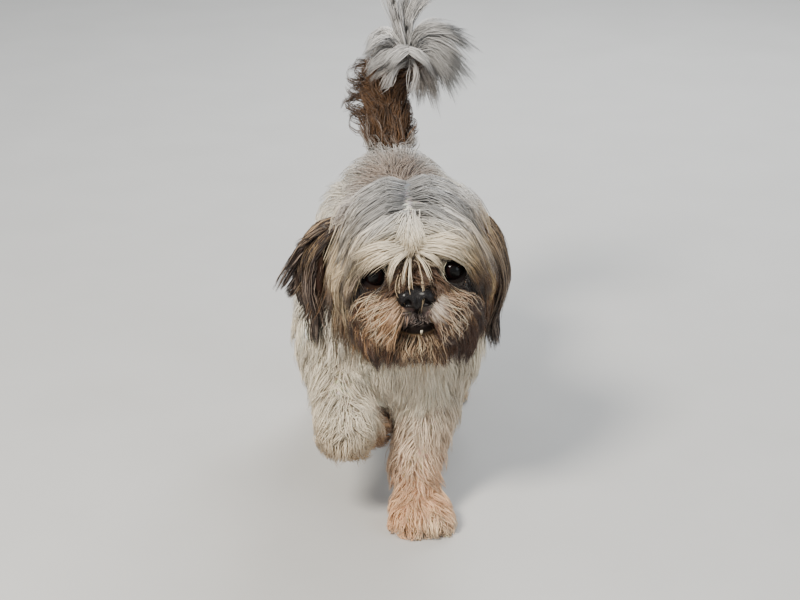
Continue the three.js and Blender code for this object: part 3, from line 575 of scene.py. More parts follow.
bm = bmesh.new()
for name in PARTS:
    for kind, a, b, c in flesh[name][1]:
        if kind == "bone":
            tapered_rod(bm, a, b, *c)
        else:
            squashed_ball(bm, a, Matrix(np.array(c)).to_4x4() @ Matrix.Diagonal((*b, 1)), 3)
skin = new_object("skin", bm)
print("before melting:", len(skin.data.vertices), "points")

# %% Melt them into one skin
VOXEL = 0.0023
CLEAR_OF_FLOOR = 0.4

remesh = skin.modifiers.new("melt", "REMESH")
remesh.mode = "VOXEL"
remesh.voxel_size = VOXEL
melted = bpy.data.meshes.new_from_object(skin.evaluated_get(bpy.context.evaluated_depsgraph_get()))
skin.modifiers.clear()
skin.data = melted


def mesh_places(mesh):
    """Points of a mesh as places in the walking frame."""
    found = np.empty(len(mesh.vertices) * 3)
    mesh.vertices.foreach_get("co", found)
    return (found.reshape(-1, 3) - SHIFT) / MM


def smooth(bm, factor):
    bmesh.ops.smooth_vert(bm, verts=bm.verts, factor=factor, use_axis_x=True, use_axis_y=True, use_axis_z=True)


places = onto_skin(mesh_places(melted))
places[:, 2] = np.maximum(places[:, 2], CLEAR_OF_FLOOR)
melted.vertices.foreach_set("co", in_part(places).ravel())
bm = bmesh.new()
bm.from_mesh(melted)
for _ in range(2):
    smooth(bm, 0.4)
bmesh.ops.recalc_face_normals(bm, faces=bm.faces)
bm.to_mesh(melted)
bm.free()
melted.shade_smooth()
skin_places = mesh_places(melted)
print("skin:", len(melted.vertices), "points")

# %% Finish of the skin
COLOUR_LAYER = "coat_colour"


def paint(mesh, colours):
    """Stores one linear colour for each point of a mesh."""
    layer = mesh.color_attributes.new(COLOUR_LAYER, "FLOAT_COLOR", "POINT")
    rgba = np.ones((len(colours), 4), np.float32)
    rgba[:, :3] = np.clip(colours, 0.004, 0.95)
    layer.data.foreach_set("color", rgba.ravel())


def painted(nodes):
    """The colour stored at each point."""
    tint = nodes.new("ShaderNodeAttribute")
    tint.attribute_name = COLOUR_LAYER
    return tint.outputs["Color"]


def multiplied(nodes, links, colour, pattern, share):
    """A colour times a pattern, by a share of its full strength."""
    product = nodes.new("ShaderNodeMix")
    product.data_type = "RGBA"
    product.blend_type = "MULTIPLY"
    product.inputs[0].default_value = share
    links.new(colour, product.inputs[6])
    links.new(pattern, product.inputs[7])
    return product.outputs[2]


paint(melted, markings(skin_places) * 0.9)
skin_finish, nodes, links, shader = new_material("skin_finish", 0.8, Specular_IOR_Level=0.15)
mottled = multiplied(nodes, links, painted(nodes), noise(nodes, links, 240).outputs["Color"], 0.5)
links.new(mottled, shader.inputs["Base Color"])
add_bump(nodes, links, shader, noise(nodes, links, 700).outputs["Fac"], 0.5, 0.0006)
melted.materials.append(skin_finish)
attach(skin, "root")
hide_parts(*[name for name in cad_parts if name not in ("left_eye", "right_eye", "nose")])
print("painted", len(skin_places), "points of skin")

# %% [markdown]
# The eyes
#
# Large, round, dark eyes look out from under the fringe. Each is turned from a profile whose front stands a
# little out where the cornea is. A colour for each ring runs from the black pupil over a deep brown iris to
# the dark edge, under a clear wet coat that catches the lights.

# %% Turn the eyes
def turned(profile, place, look):
    """Spins a profile of (out, along) pairs in millimetres round the way it looks."""
    bm = bmesh.new()
    points = [bm.verts.new((r * MM, 0, along * MM)) for r, along in profile]
    edges = [bm.edges.new(pair) for pair in zip(points, points[1:])]
    bmesh.ops.spin(
        bm, geom=points + edges, cent=(0, 0, 0), axis=(0, 0, 1), angle=2 * math.pi, steps=48, use_merge=True
    )
    bmesh.ops.remove_doubles(bm, verts=bm.verts, dist=1e-6)
    bmesh.ops.recalc_face_normals(bm, faces=bm.faces)
    turn = Vector(look).to_track_quat("Z", "Y").to_matrix().to_4x4()
    bmesh.ops.transform(bm, matrix=Matrix.Translation(in_part(place)) @ turn, verts=bm.verts)
    return bm


eye_finish, nodes, links, shader = new_material(
    "eye_finish", 0.05, Coat_Weight=0.1, Coat_Roughness=0.02, Specular_IOR_Level=0.1
)
links.new(painted(nodes), shader.inputs["Base Color"])
EDGE = math.radians(45)  # where the cornea starts to stand out
profile = []
for i in range(33):
    angle = math.radians(-90 + i * 180 / 32)
    stand = CORNEA * math.sin((angle - EDGE) * 2) if angle > EDGE else 0
    profile.append((math.cos(angle) * EYE_RADIUS, math.sin(angle) * EYE_RADIUS + stand))
for side, label in ((1, "left"), (-1, "right")):
    eyeball = new_object(label + "_eyeball", turned(profile, EYES[side], LOOKS[side]), eye_finish, "eye")
    off = unit(mesh_places(eyeball.data) - EYES[side]) @ LOOKS[side]
    ring = np.degrees(np.arccos(np.clip(off, -1, 1)))
    colour = over(shade(7, 5, 5), shade(24, 13, 8), soft(20, 26, ring) * soft(44, 38, ring))
    colour = over(colour, shade(50, 42, 38), soft(54, 62, ring) * 0.5)
    paint(eyeball.data, colour)
    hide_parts(label + "_eye")
print("two eyes of", 2 * EYE_RADIUS, "mm")

# %% [markdown]
# Lids, lips and teeth
#
# Dark rims of bare skin hug each eye, and the lips run dark from corner to corner under the moustache, a
# little open over the tips of the lower teeth. Each is a tube: rings of points are set along a path and
# bridged, and its thickness swells where the real one does.

# %% Tubes along a path
def tube(points, radii, around=12):
    """A closed tube in millimetres through points, with a radius for each."""
    bm = bmesh.new()
    points = [Vector(in_part(p)) for p in points]
    rings = []
    for i, p in enumerate(points):
        way = points[min(i + 1, len(points) - 1)] - points[max(i - 1, 0)]
        turn = way.to_track_quat("Z", "Y").to_matrix().to_4x4()
        made = bmesh.ops.create_circle(
            bm, segments=around, radius=radii[i] * MM, matrix=Matrix.Translation(p) @ turn, cap_ends=False
        )
        rings.append(made["verts"])
    for a, b in zip(rings, rings[1:]):
        edges = [e for ring in (a, b) for e in {e for v in ring for e in v.link_edges if e.other_vert(v) in ring}]
        bmesh.ops.bridge_loops(bm, edges=edges)
    for ring in (rings[0], rings[-1]):
        bmesh.ops.contextual_create(bm, geom=ring)
    bmesh.ops.recalc_face_normals(bm, faces=bm.faces)
    return bm


def through(points, count):
    """Evenly counted places on a smooth curve through a few points."""
    points = np.asarray(points, float)
    padded = np.vstack([2 * points[0] - points[1], points, 2 * points[-1] - points[-2]])
    t = np.linspace(0, len(points) - 1.0001, count)
    i = t.astype(int)
    f = (t - i)[:, None]
    a, b, c, d = [padded[i + k] for k in range(4)]
    return 0.5 * (2 * b + (c - a) * f + (2 * a - 5 * b + 4 * c - d) * f**2 + (3 * b - a - 3 * c + d) * f**3)


def joined(name, parts, material, slot):
    """One object out of several bmeshes."""
    bm = bmesh.new()
    for part in parts:
        scrap = bpy.data.meshes.new("scrap")
        part.to_mesh(scrap)
        part.free()
        bm.from_mesh(scrap)
        bpy.data.meshes.remove(scrap)
    return new_object(name, bm, material, slot)


bare_skin, nodes, links, shader = new_material("bare_skin", 0.5, Specular_IOR_Level=0.1)
dark_mottle = noise(nodes, links, 420, 4)
two_tones(nodes, links, shader, dark_mottle.outputs["Fac"], shade(14, 10, 9), shade(34, 24, 21))
add_bump(nodes, links, shader, noise(nodes, links, 1500).outputs["Fac"], 0.4, 0.0004)

# %% Lids
angles = np.linspace(0, 2 * np.pi, 41)
rims = []
for side in (1, -1):
    across = unit(np.cross(LOOKS[side], P(0, 0, 1)))
    upward = np.cross(across, LOOKS[side])
    wide = 10.6 * np.cos(angles)[:, None] * across
    tall = 9.6 * np.sin(angles)[:, None] * upward
    back = (-0.9 * np.cos(angles) ** 2)[:, None] * LOOKS[side]
    rims.append(tube(EYES[side] + 4.4 * LOOKS[side] + wide + tall + back, np.full(41, 1.9), 10))
lids = joined("lids", rims, bare_skin, "nose_leather")
print("lids:", len(lids.data.polygons), "faces")

# %% Lips and teeth
def lip(right_half, middle):
    """A curve across the mouth: its right half, its middle, and the right half mirrored."""
    left_half = [(-x, y, z) for x, y, z in reversed(right_half)]
    return through([on_head(*place) for place in (*right_half, middle, *left_half)], 33)


upper_lip = lip([(-19, -44, -49.5), (-11, -60, -45.5)], (0, -66, -43.5))
lower_lip = lip([(-16, -44, -51.5), (-10, -57, -51.5)], (0, -62.5, -52))
swell = np.sin(np.linspace(0.15, np.pi - 0.15, len(upper_lip)))
lip_tubes = [tube(upper_lip, 1.4 + 2.0 * swell), tube(lower_lip, 1.2 + 1.0 * swell)]
joined("lips", lip_tubes, bare_skin, "nose_leather")

tooth_white, nodes, links, shader = new_material("tooth_white", 0.25, Coat_Weight=0.4)
stain = noise(nodes, links, 300)
two_tones(nodes, links, shader, stain.outputs["Fac"], shade(186, 170, 140), shade(226, 216, 194))
teeth = []
for x, tall in ((0.2, 0.55), (2.3, 1.0)):
    base = on_head(x, -63.5 - 1.5 * tall, -53)
    crown = on_head(x, -64.2 - 3.6 * tall, -51.6 + tall * 2.9)
    teeth.append(tube([base, mix(base, crown, 0.6), crown], [1.1, 1.5, 1.3], 8))
print("lips of 2 tubes,", len(teeth), "teeth")
joined("teeth", teeth, tooth_white, "cream_coat")

# %% [markdown]
# The nose
#
# The leather of the nose is broad and black, with two round nostrils whose slits curl outwards, and a groove
# down the middle. It is a ball whose points slide in and out along their rays until they meet a small field
# of its own, from which the holes are taken away. Fine pebbles in the finish are a Voronoi bump.

# %% Nose leather
NOSE_DROP = 21
leather = [head_ball(0, -65, -NOSE_DROP - 0.5, 27, 17, 16.5), head_ball(0, -69, -NOSE_DROP - 4, 9, 13, 12)]
leather += [head_ball(8.4 * side, -68.8, -NOSE_DROP - 1, 12.5, 12, 14) for side in (1, -1)]


def turned_in_head(angle):
    return HEAD @ np.array(Matrix.Rotation(angle, 3, "Y"))


hollows = [ball(on_head(0, -76.5, -NOSE_DROP - 2), 1.6, 5, 22, HEAD)]
for side in (1, -1):
    hollows.append(ball(on_head(6.8 * side, -76, -NOSE_DROP - 3), 6, 12, 6.4, turned_in_head(0.5 * side)))
    hollows.append(ball(on_head(11 * side, -73, -NOSE_DROP - 5.2), 8.5, 8, 2.8, turned_in_head(0.5 * side)))


def nose_field(p):
    """Distance to the leather of the nose, with its holes taken away."""
    found = np.full(len(p), 200.0)
    for shape in leather:
        found = blended(found, shape_distance(shape, p), 4)
    for shape in hollows:
        found = -blended(-found, shape_distance(shape, p), 1.2)
    return found


print("nose:", len(leather), "balls of leather,", len(hollows), "hollows")

# %% Draw the ball onto the nose
bm = bmesh.new()
bmesh.ops.create_icosphere(bm, subdivisions=6, radius=1)
rays = np.array([v.co for v in bm.verts])
middle = on_head(0, -64, -NOSE_DROP - 1)
far = np.full(len(rays), 22.0)
for _ in range(40):
    far -= np.clip(nose_field(middle + rays * far[:, None]), -1, 2) * 0.7
far = np.clip(far, 4, 30)
for v, place in zip(bm.verts, in_part(middle + rays * far[:, None])):
    v.co = place
smooth(bm, 0.5)
leather_finish, nodes, links, shader = new_material(
    "nose_leather", 0.38, Coat_Weight=0.3, Coat_Roughness=0.24, Specular_IOR_Level=0.12
)
pebbles = noise(nodes, links, 900, kind="ShaderNodeTexVoronoi").outputs["Distance"]
two_tones(nodes, links, shader, pebbles, shade(20, 15, 15), shade(7, 5, 5))
add_bump(nodes, links, shader, pebbles, 0.7, 0.0008)
nose = new_object("nose_pad", bm, leather_finish, "nose_leather")
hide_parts("nose")
print("nose reaches", far.min().round(1), "to", far.max().round(1), "mm from its middle")

# %% [markdown]
# Claws and pads
#
# A small dark claw ends each toe, half hidden in the hair, and the lifted paw shows its pads from below and
# behind. Claws are short tubes that bend down to a blunt point. Pads are squashed balls of rough leather.

# %% Claws
def claw(root, middle, tip, thickness):
    """A short tube that bends down from its root to a blunt tip."""
    return tube(through([root, root + middle, root + tip], len(thickness)), thickness, 10)


claws = []
for leg, toe_in in ((LEFT_FORE, 0.12), (LEFT_HIND, 0), (RIGHT_HIND, 0)):
    for toe in TOES:
        reach = toe_reach(toe)
        root = leg[3] + P(toe * TOE_GAP + toe_in * reach, -reach - 4, -3)
        claws.append(claw(root, P(0, -6, -1), P(0, -9.5, -4.6), [2.2, 2.1, 1.9, 1.5, 1.1, 0.5]))
for toe in TOES:
    root = lifted + P(toe * FOLDED_TOE_GAP, 12, -14)
    claws.append(claw(root, P(0, 3, -6), P(0, 1, -10), [2, 1.9, 1.7, 1.4, 1, 0.4]))
print(len(claws), "claws")
joined("claws", claws, bare_skin, "nose_leather")

# %% Pads of the lifted paw
pads = []
for x, y, z, size in ((0, 13, 2, 15), (-11, 18, -7, 8), (-4, 20, -9, 8.5), (4, 20, -9, 8.5), (11, 18, -7, 8)):
    bm = bmesh.new()
    squashed_ball(bm, lifted + P(x, y, z), Matrix.Diagonal((size * 0.55, 4, size * 0.5, 1)), 4)
    pads.append(bm)
print(len(pads), "pads")
joined("paw_pads", pads, bare_skin, "nose_leather")

# %% [markdown]
# How a tuft grows
#
# A tuft is a closed, three-sided, tapered strip. It leaves its root along the lie of the coat there, bends as
# gravity and the body under it say, and keeps off the skin by a height that grows towards its tip. All the
# tufts of a region are worked out at once as arrays, so that tens of thousands take only seconds.

# %% Comb tufts along the body
ROOT_DEPTH = 1.5
LOWEST = 0.8  # no tuft is combed lower than this over the floor


def comb(roots, lie, length, low, high, droop, cling, steps):
    """Paths of steps + 1 places for each root, and the way up at each place."""
    p = onto_skin(roots, rounds=2, lattice=EARLESS)
    _, up = field(p, EARLESS)
    way = unit(lie)
    cling = np.broadcast_to(cling, len(p))
    path, ups = [p - up * ROOT_DEPTH], [up]
    for i in range(1, steps + 1):
        way[:, 2] -= droop / steps * 1.6
        way = unit(way - up * (np.sum(way * up, 1) * cling)[:, None])
        p = p + way * (length / steps)[:, None]
        distance, up = field(p, EARLESS)
        lift = mix(low, high, i / steps) - distance
        p = p + up * np.where(lift > 0, lift, lift * cling)[:, None]
        p[:, 2] = np.maximum(p[:, 2], LOWEST)
        path.append(p)
        ups.append(up)
    return np.stack(path, 1), np.stack(ups, 1)


def gather(path, size, share):
    """Draws tufts towards the middle one of each lock, more so towards their tips."""
    chosen = rng.permutation(len(path))[: max(int(len(path) / size), 1)]
    tree = kdtree.KDTree(len(chosen))
    for i, k in enumerate(chosen):
        tree.insert(path[k, 0], i)
    tree.balance()
    guide = chosen[[tree.find(root)[1] for root in path[:, 0]]]
    t = np.linspace(0, 1, path.shape[1])[None, :, None]
    share = np.broadcast_to(share, len(path))[:, None, None]
    near = path[guide] + (path[:, :1] - path[guide][:, :1]) * (1 - 0.75 * t)
    return mix(path, near, share * t), guide


def waves(path, ups, guide, size, turns):
    """Bends each lock sideways in waves of its own."""
    t = np.linspace(0, 1, path.shape[1])
    phase = rng.uniform(0, 6.3, len(path))[guide] + rng.normal(0, 0.5, len(path))
    way = unit(path[:, -1] - path[:, 0])
    sideways = unit(np.cross(way[:, None], ups))
    swing = np.sin(phase[:, None] + t * 6.3 * turns) - np.sin(phase)[:, None]
    lift = np.cos(phase[:, None] * 1.7 + t * 6.3 * turns) * 0.4
    return path + size * (sideways * (swing * t**0.7)[..., None] + ups * (lift * t)[..., None])


def arc(start, middle, end, places):
    """Paths that bend from a start through a middle place to an end."""
    bend = 2 * middle - (start + end) / 2
    s = np.linspace(0, 1, places)[None, :, None]
    return start[:, None] * (1 - s) ** 2 + bend[:, None] * 2 * s * (1 - s) + end[:, None] * s**2


# %% [markdown]
# From paths to a mesh
#
# Each path becomes rings of three points and a tip. The colours run from root to tip. The map named OFBake
# gives each tuft a small patch, so that a baked picture keeps each tuft's own shades. In most regions the
# patch lies at the root's place on the unrolled skin.

# %% Points and faces of a strip
TAPER = ((0, 0.3, 0.65, 1), (0.75, 1, 0.8, 0.1))  # the share of its width that a strip has on its way out
FLATNESS = 0.4
FLOOR_GAP = 0.3  # no point of a strip is lower than this over the floor
SIDES = ((0, 1), (1, 2), (2, 0))


def strip_points(path, ups, width):
    """Three corners round each place of each path, and one point at its tip."""
    count, places, _ = path.shape
    ahead = unit(path[:, 1:] - np.concatenate([path[:, :1], path[:, :-2]], 1))
    roll = rng.normal(0, 0.45, count)[:, None, None]
    side = unit(np.cross(ahead, ups[:, :-1]))
    top = np.cross(side, ahead)
    side, top = side * np.cos(roll) + top * np.sin(roll), top * np.cos(roll) - side * np.sin(roll)
    half = (width[:, None] / 2 * np.interp(np.linspace(0, 1, places)[:-1], *TAPER))[..., None]
    spine = path[:, :-1]
    corners = np.stack([spine - side * half, spine + side * half, spine + top * half * 2 * FLATNESS], 2)
    points = np.concatenate([corners.reshape(count, -1, 3), path[:, -1:]], 1)
    points[..., 2] = np.maximum(points[..., 2], FLOOR_GAP)
    return points


def strip_faces(rings):
    """Triangles of one strip: its root, its three sides and its tip."""
    faces = [(0, 1, 2)]
    for r in range(rings - 1):
        for a, b in SIDES:
            low_a, low_b, high_a, high_b = 3 * r + a, 3 * r + b, 3 * r + 3 + a, 3 * r + 3 + b
            faces += [(low_a, high_a, high_b), (low_a, high_b, low_b)]
    tip = 3 * rings
    faces += [(tip - 3 + a, tip, tip - 3 + b) for a, b in SIDES]
    return np.array(faces)


print("a strip of 4 rings has", len(strip_faces(4)), "triangles")

# %% Strips along the paths
PATCH = 0.003  # side of a tuft's patch on the OFBake map


def strips(name, path, ups, width, colours, patch, material):
    """A piece of coat: one closed strip along each path."""
    count, rings = len(path), path.shape[1] - 1
    points, faces = strip_points(path, ups, width), strip_faces(rings)
    size = points.shape[1]
    corner = (faces[None] + size * np.arange(count)[:, None, None]).astype(np.int32)
    mesh = bpy.data.meshes.new(name)
    mesh.vertices.add(count * size)
    mesh.vertices.foreach_set("co", in_part(points).astype(np.float32).ravel())
    mesh.loops.add(corner.size)
    mesh.loops.foreach_set("vertex_index", corner.ravel())
    mesh.polygons.add(count * len(faces))
    mesh.polygons.foreach_set("loop_start", np.arange(0, corner.size, 3, dtype=np.int32))
    mesh.polygons.foreach_set("use_smooth", np.ones(count * len(faces), bool))
    mesh.update(calc_edges=True)
    ring = np.append(np.repeat(np.arange(rings), 3), rings)
    paint(mesh, colours[:, ring].reshape(-1, 3))
    across = np.append(np.tile((0, 0.5, 1), rings), 0.5)
    along = np.linspace(0, 1, rings + 1)[ring]
    spot = np.stack([patch[:, :1] + PATCH * (across - 0.5), patch[:, 1:] + PATCH * (along - 0.5)], -1)
    layer = mesh.uv_layers.new(name="OFBake")
    layer.data.foreach_set("uv", spot.reshape(-1, 2)[corner.ravel()].astype(np.float32).ravel())
    mesh.materials.append(material)
    piece = bpy.data.objects.new(name, mesh)
    bpy.context.collection.objects.link(piece)
    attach(piece, "root")
    print(name, count, "tufts,", count * len(faces), "triangles")


# %% Shades along and among tufts
def run(first, last, places, deep=0.6):
    """Shades for each place of a tuft, from root to tip, with painted shade down at the root."""
    t = np.linspace(0, 1, places)[None, :, None]
    return (first[:, None] * (1 - t**1.3) + last[:, None] * t**1.3) * mix(deep, 1, soft(0, 0.4, t))


def shaded(colours, depth, low=0.05, high=0.5, least=0.5):
    """Hair low in the coat lies in the shade of the hair over it."""
    return colours * mix(least, 1, soft(low, high, depth))[:, None, None]


def vary(colours, spread, dark=0.0):
    """Gives each tuft its own shade, and makes a share of them dark."""
    tinted = colours * (1 + rng.normal(0, spread, (len(colours), 1)))
    deep = (rng.uniform(0, 1, len(colours)) < dark)[:, None]
    return np.where(deep, tinted * 0.45, tinted)


# %% Finish of the coat
def coat_finish(name, roughness, sheen):
    material, nodes, links, shader = new_material(
        name, roughness, Sheen_Weight=sheen, Sheen_Roughness=0.4, Specular_IOR_Level=0.35
    )
    tint = painted(nodes)
    streak = noise(nodes, links, 900, 2)
    level = nodes.new("ShaderNodeMapRange")
    level.inputs["To Min"].default_value = 0.82
    level.inputs["To Max"].default_value = 1.12
    links.new(streak.outputs["Fac"], level.inputs["Value"])
    streaked = multiplied(nodes, links, tint, level.outputs["Result"], 1.0)
    links.new(streaked, shader.inputs["Base Color"])
    return material


silky = coat_finish("silky_coat", 0.42, 0.1)
fluffy = coat_finish("fluffy_coat", 0.55, 0.2)
print("finishes:", silky.name, "and", fluffy.name)

# %% [markdown]
# Roots
#
# Roots are strewn over the skin by area, more densely where a region asks for it. Each knows the part it
# grows on, so that a region of coat is simply the roots of its parts.

# %% Strew roots over the skin
melted.calc_loop_triangles()
corner_ids = np.empty(len(melted.loop_triangles) * 3, np.int32)
melted.loop_triangles.foreach_get("vertices", corner_ids)
triangles = skin_places[corner_ids.reshape(-1, 3)]
areas = np.linalg.norm(np.cross(triangles[:, 1] - triangles[:, 0], triangles[:, 2] - triangles[:, 0]), axis=1) / 2
centres = triangles.mean(1)
owner = np.argmin([part_distance(name, centres) for name in PARTS], axis=0)


def strew(count, parts, weight=None):
    """Places on the skin of some parts, by area times a weight."""
    share = areas * np.isin(owner, [PARTS.index(name) for name in parts])
    if weight is not None:
        share = share * weight(centres)
    chosen = np.searchsorted(np.cumsum(share), rng.uniform(0, share.sum(), count))
    a, b = rng.uniform(0, 1, (2, count, 1))
    flip = a + b > 1
    a, b = np.where(flip, 1 - a, a), np.where(flip, 1 - b, b)
    p, q, r = [triangles[np.minimum(chosen, len(triangles) - 1), i] for i in range(3)]
    return p + (q - p) * a + (r - p) * b


def lengths(count, middle, spread=0.18):
    return middle * np.clip(rng.normal(1, spread, count), 0.5, 1.5)


print("roots may lie on", len(triangles), "triangles")

# %% Maps of the skin
def stacked(*columns):
    """Rows out of columns, some of which may be a single number."""
    return np.stack(np.broadcast_arrays(*columns), -1)


def unrolled(p, axis):
    """Place on the skin unrolled round an axis: the way round, and the way along."""
    axis = np.asarray(axis)
    best = np.full(len(p), np.inf)
    along, angle = np.zeros(len(p)), np.zeros(len(p))
    for i in range(len(axis) - 1):
        rod = axis[i + 1] - axis[i]
        t = np.clip((p - axis[i]) @ rod / (rod @ rod), 0, 1)
        out = p - axis[i] - t[:, None] * rod
        level = unit(np.cross(rod, P(0.3, 0.9, 0.2) if abs(rod[2]) > abs(rod[1]) else P(0, 0, 1)))
        other = unit(np.cross(rod, level))
        distance = np.linalg.norm(out, axis=1)
        nearer = distance < best
        best = np.where(nearer, distance, best)
        along = np.where(nearer, (i + t) / (len(axis) - 1), along)
        angle = np.where(nearer, np.arctan2(out @ other, out @ level), angle)
    return 0.03 + 0.94 * stacked(angle / (2 * np.pi) + 0.5, along)


def beside(patch, place, of):
    """Squeezes a map into one of several columns."""
    return stacked((patch[:, 0] + place) / of, patch[:, 1])


print("a place on the withers maps to", unrolled(WITHERS[None], BODY_AXIS).round(2))

# %% [markdown]
# Keeping the eyes open
#
# Hair that would fall across an eye is parted round it, like a curtain, and hair that would lie on the nose
# or in the mouth is left out. Both are tests on where the places of a path lie.

# %% Clear the eyes, the nose and the mouth
def keep_clear(p, margin_eye=0.0, margin_nose=0.0):
    """True where a place is clear of the eyes, the nose and the mouth."""
    h = in_head(p)
    clear = np.ones(len(p), bool)
    for side in (1, -1):
        front = EYES[side] + 5 * LOOKS[side]
        clear &= np.linalg.norm(p - front, axis=1) > 11 + margin_eye
    clear &= np.linalg.norm((h - P(0, -70, -22)) / P(15, 14, 11.5), axis=1) > 1 + margin_nose
    return clear & (np.linalg.norm((h - P(0, -62, -49)) / P(20, 16, 4.6), axis=1) > 1)


def part_round_eyes(path, radius, fade=(0.0, 3.0)):
    """Pushes places that lie before an eye out to its rim."""
    radius = radius + rng.uniform(*fade, len(path))[:, None]
    for side in (1, -1):
        rel = path - EYES[side]
        ahead = rel @ LOOKS[side]
        flat = rel - ahead[..., None] * LOOKS[side]
        far = np.linalg.norm(flat, axis=2)
        push = np.where((ahead > 0) & (far < radius), radius - far, 0)
        path = path + unit(flat) * push[..., None]
    return path


def open_eyed(path, radius):
    """True for paths that do not cut across an eye, neither at a place nor between two."""
    between = np.concatenate([path, mix(path[:, :-1], path[:, 1:], 0.5)], 1)
    clear = np.ones(len(path), bool)
    for side in (1, -1):
        rel = between - EYES[side]
        ahead = rel @ LOOKS[side]
        far = np.linalg.norm(rel - ahead[..., None] * LOOKS[side], axis=2)
        clear &= ~((ahead > 0) & (far < radius)).any(1)
    return clear


def seen(path, *margins):
    """True for paths of which every place after the root is clear."""
    return np.array([keep_clear(path[:, i], *margins) for i in range(1, path.shape[1])]).all(0)


HEAD_AXIS = [on_head(0, 0, -60), on_head(0, 0, 60)]


def head_strips(name, path, ups, width, colours, roots):
    """A piece of the head's silky coat, mapped round the head."""
    strips(name, path, ups, width, colours, unrolled(roots, HEAD_AXIS), silky)


# %% [markdown]
# The crown
#
# Long silky hair is parted down the middle of the skull and falls to both sides like a cap. Over the eyes it
# starts from one point between the brows and arches outwards.

# %% Where the crown grows
def crown_weight(p):
    h = in_head(p)
    return np.clip(soft(0, 9, h[:, 2]) + soft(14, 26, h[:, 1]) * soft(-30, -10, h[:, 2]), 0, 1) + 1e-6


def crown_roots_weight(p):
    """Denser along the parting."""
    return crown_weight(p) * (1 + 1.2 * soft(14, 2, np.abs(in_head(p)[:, 0])))


def mask_along(path, spread, dark):
    """The mask's shades at each place of each tuft, each tuft a little lighter or darker."""
    count, places, _ = path.shape
    shake = np.repeat(rng.normal(0, 3, (count, 3)), places, 0)
    shades = face_mask(in_head(path.reshape(-1, 3)) + shake).reshape(path.shape)
    return shades * vary(np.ones((count, 3)), spread, dark)[:, None]


# %% Crown
def crown(name, which, count):
    """One side of the crown's cap."""
    roots = strew(count, ["head"], lambda p: crown_roots_weight(p) * (which * in_head(p)[:, 0] > -5))
    x, y, z = in_head(roots).T
    r = np.hypot(x, z + 10)
    forward = mix(-0.3, 0.45, np.clip((y + 34) / 76, 0, 1))
    brow = soft(-24, -36, y) * soft(24, 10, z)
    parting = soft(15, 2, np.abs(x))
    rise = 0.3 * brow * soft(26, 6, np.abs(x)) + 0.1 * parting
    down = -np.abs(x) / r * mix(1, 0.2, brow)
    lie = stacked(which * np.maximum((z + 10) / r, 0.3), forward * mix(1, 0.4, brow), down + rise)
    lie += rng.normal(0, 0.06, lie.shape)
    length = lengths(len(roots), 1.0, 0.14) * mix(74, 40, brow)
    depth = rng.uniform(0, 1, len(roots))
    over_ear = soft(-14, 2, y) * soft(48, 34, y) * soft(14, 36, np.abs(x))
    high = mix(2, mix(11, 6, brow * soft(30, 14, np.abs(x))), depth) + 15 * over_ear * depth
    low = mix(1.5 + high * 0.3, high * 0.6, np.maximum(parting, over_ear))
    path, ups = comb(roots, lie @ HEAD.T, length, low, high, mix(0.75, 0.5, brow), 0.9, 4)
    path, guide = gather(path, 30, mix(0.5, 1.05, depth))
    path = part_round_eyes(waves(path, ups, guide, 2.4, 0.7), 8 if which < 0 else 10)
    lock_tone = rng.uniform(0, 1, len(roots))[guide]
    colour = mask_along(path, 0.1, 0.04) * mix(0.48, 1.05, lock_tone)[:, None, None]
    # grey-tan streaks: whole locks at random, and hair low in the coat as painted shade under the hair over it
    streak = np.maximum(0.6 * (lock_tone < 0.3), 0.6 * soft(0.6, 0.1, depth)) * soft(4, 18, np.abs(x))
    colour = mix(colour, mix(TAN, SILVER, 0.3), streak[:, None, None])
    # painted shade: silver over the top of the crown
    top = soft(26, 44, z)[:, None, None] * 0.5
    colour = shaded(mix(colour, SILVER, top), depth, 0.15, 0.8, 0.35)
    # painted shade at the roots, and along the parting at the top of the head
    colour[:, :2] *= 0.85
    colour *= mix(0.45, 1, soft(1, 9, np.abs(x)) + soft(42, 34, z) * soft(9, 1, np.abs(x)))[:, None, None]
    keep = open_eyed(path, 7.5)
    path, ups, colour, roots = path[keep], ups[keep], colour[keep], roots[keep]
    head_strips(name, path, ups, rng.uniform(0.5, 1.0, len(roots)), colour, roots)


crown("crown_left_coat", 1, 5000)
crown("crown_right_coat", -1, 5000)

# %% Blaze down the middle of the forehead
def blaze_weight(p):
    x, y, z = in_head(p).T
    return soft(6, 1, np.abs(x)) * soft(0, -12, y) * soft(17, 26, z) * soft(41, 33, z) + 1e-9


roots = strew(260, ["head"], blaze_weight)
x, y, z = in_head(roots).T
lie = stacked(x * 0.12, -soft(-46, -10, y), -0.9) + rng.normal(0, 0.22, (len(x), 3))
high = rng.uniform(3.5, 7, len(roots))
path, ups = comb(roots, lie @ HEAD.T, lengths(len(roots), 22), high * 0.7, high, 0.3, 0.9, 4)
path, guide = gather(path, 10, 0.8)
path = waves(path, ups, guide, 1.4, 0.7)
# painted shade: the tufts darken towards their roots
colour = mask_along(path, 0.1, 0.0) * mix(0.7, 0.95, np.linspace(0, 1, 5))[None, :, None]
head_strips("blaze_coat", path, ups, rng.uniform(0.5, 1.0, len(roots)), colour, roots)

# %% [markdown]
# The face
#
# Around the eyes the hair is short and dark. On the cheeks it is gold and brown and hangs down, and beside
# the nose it is pale. Between the eyes it runs down to the nose.

# %% Lie of the face's hair
def face_weight(p):
    h = in_head(p)
    front = soft(30, -10, h[:, 1])
    return (0.35 + 0.65 * front) * (1 - crown_weight(p)) * keep_clear(p) + 1e-9


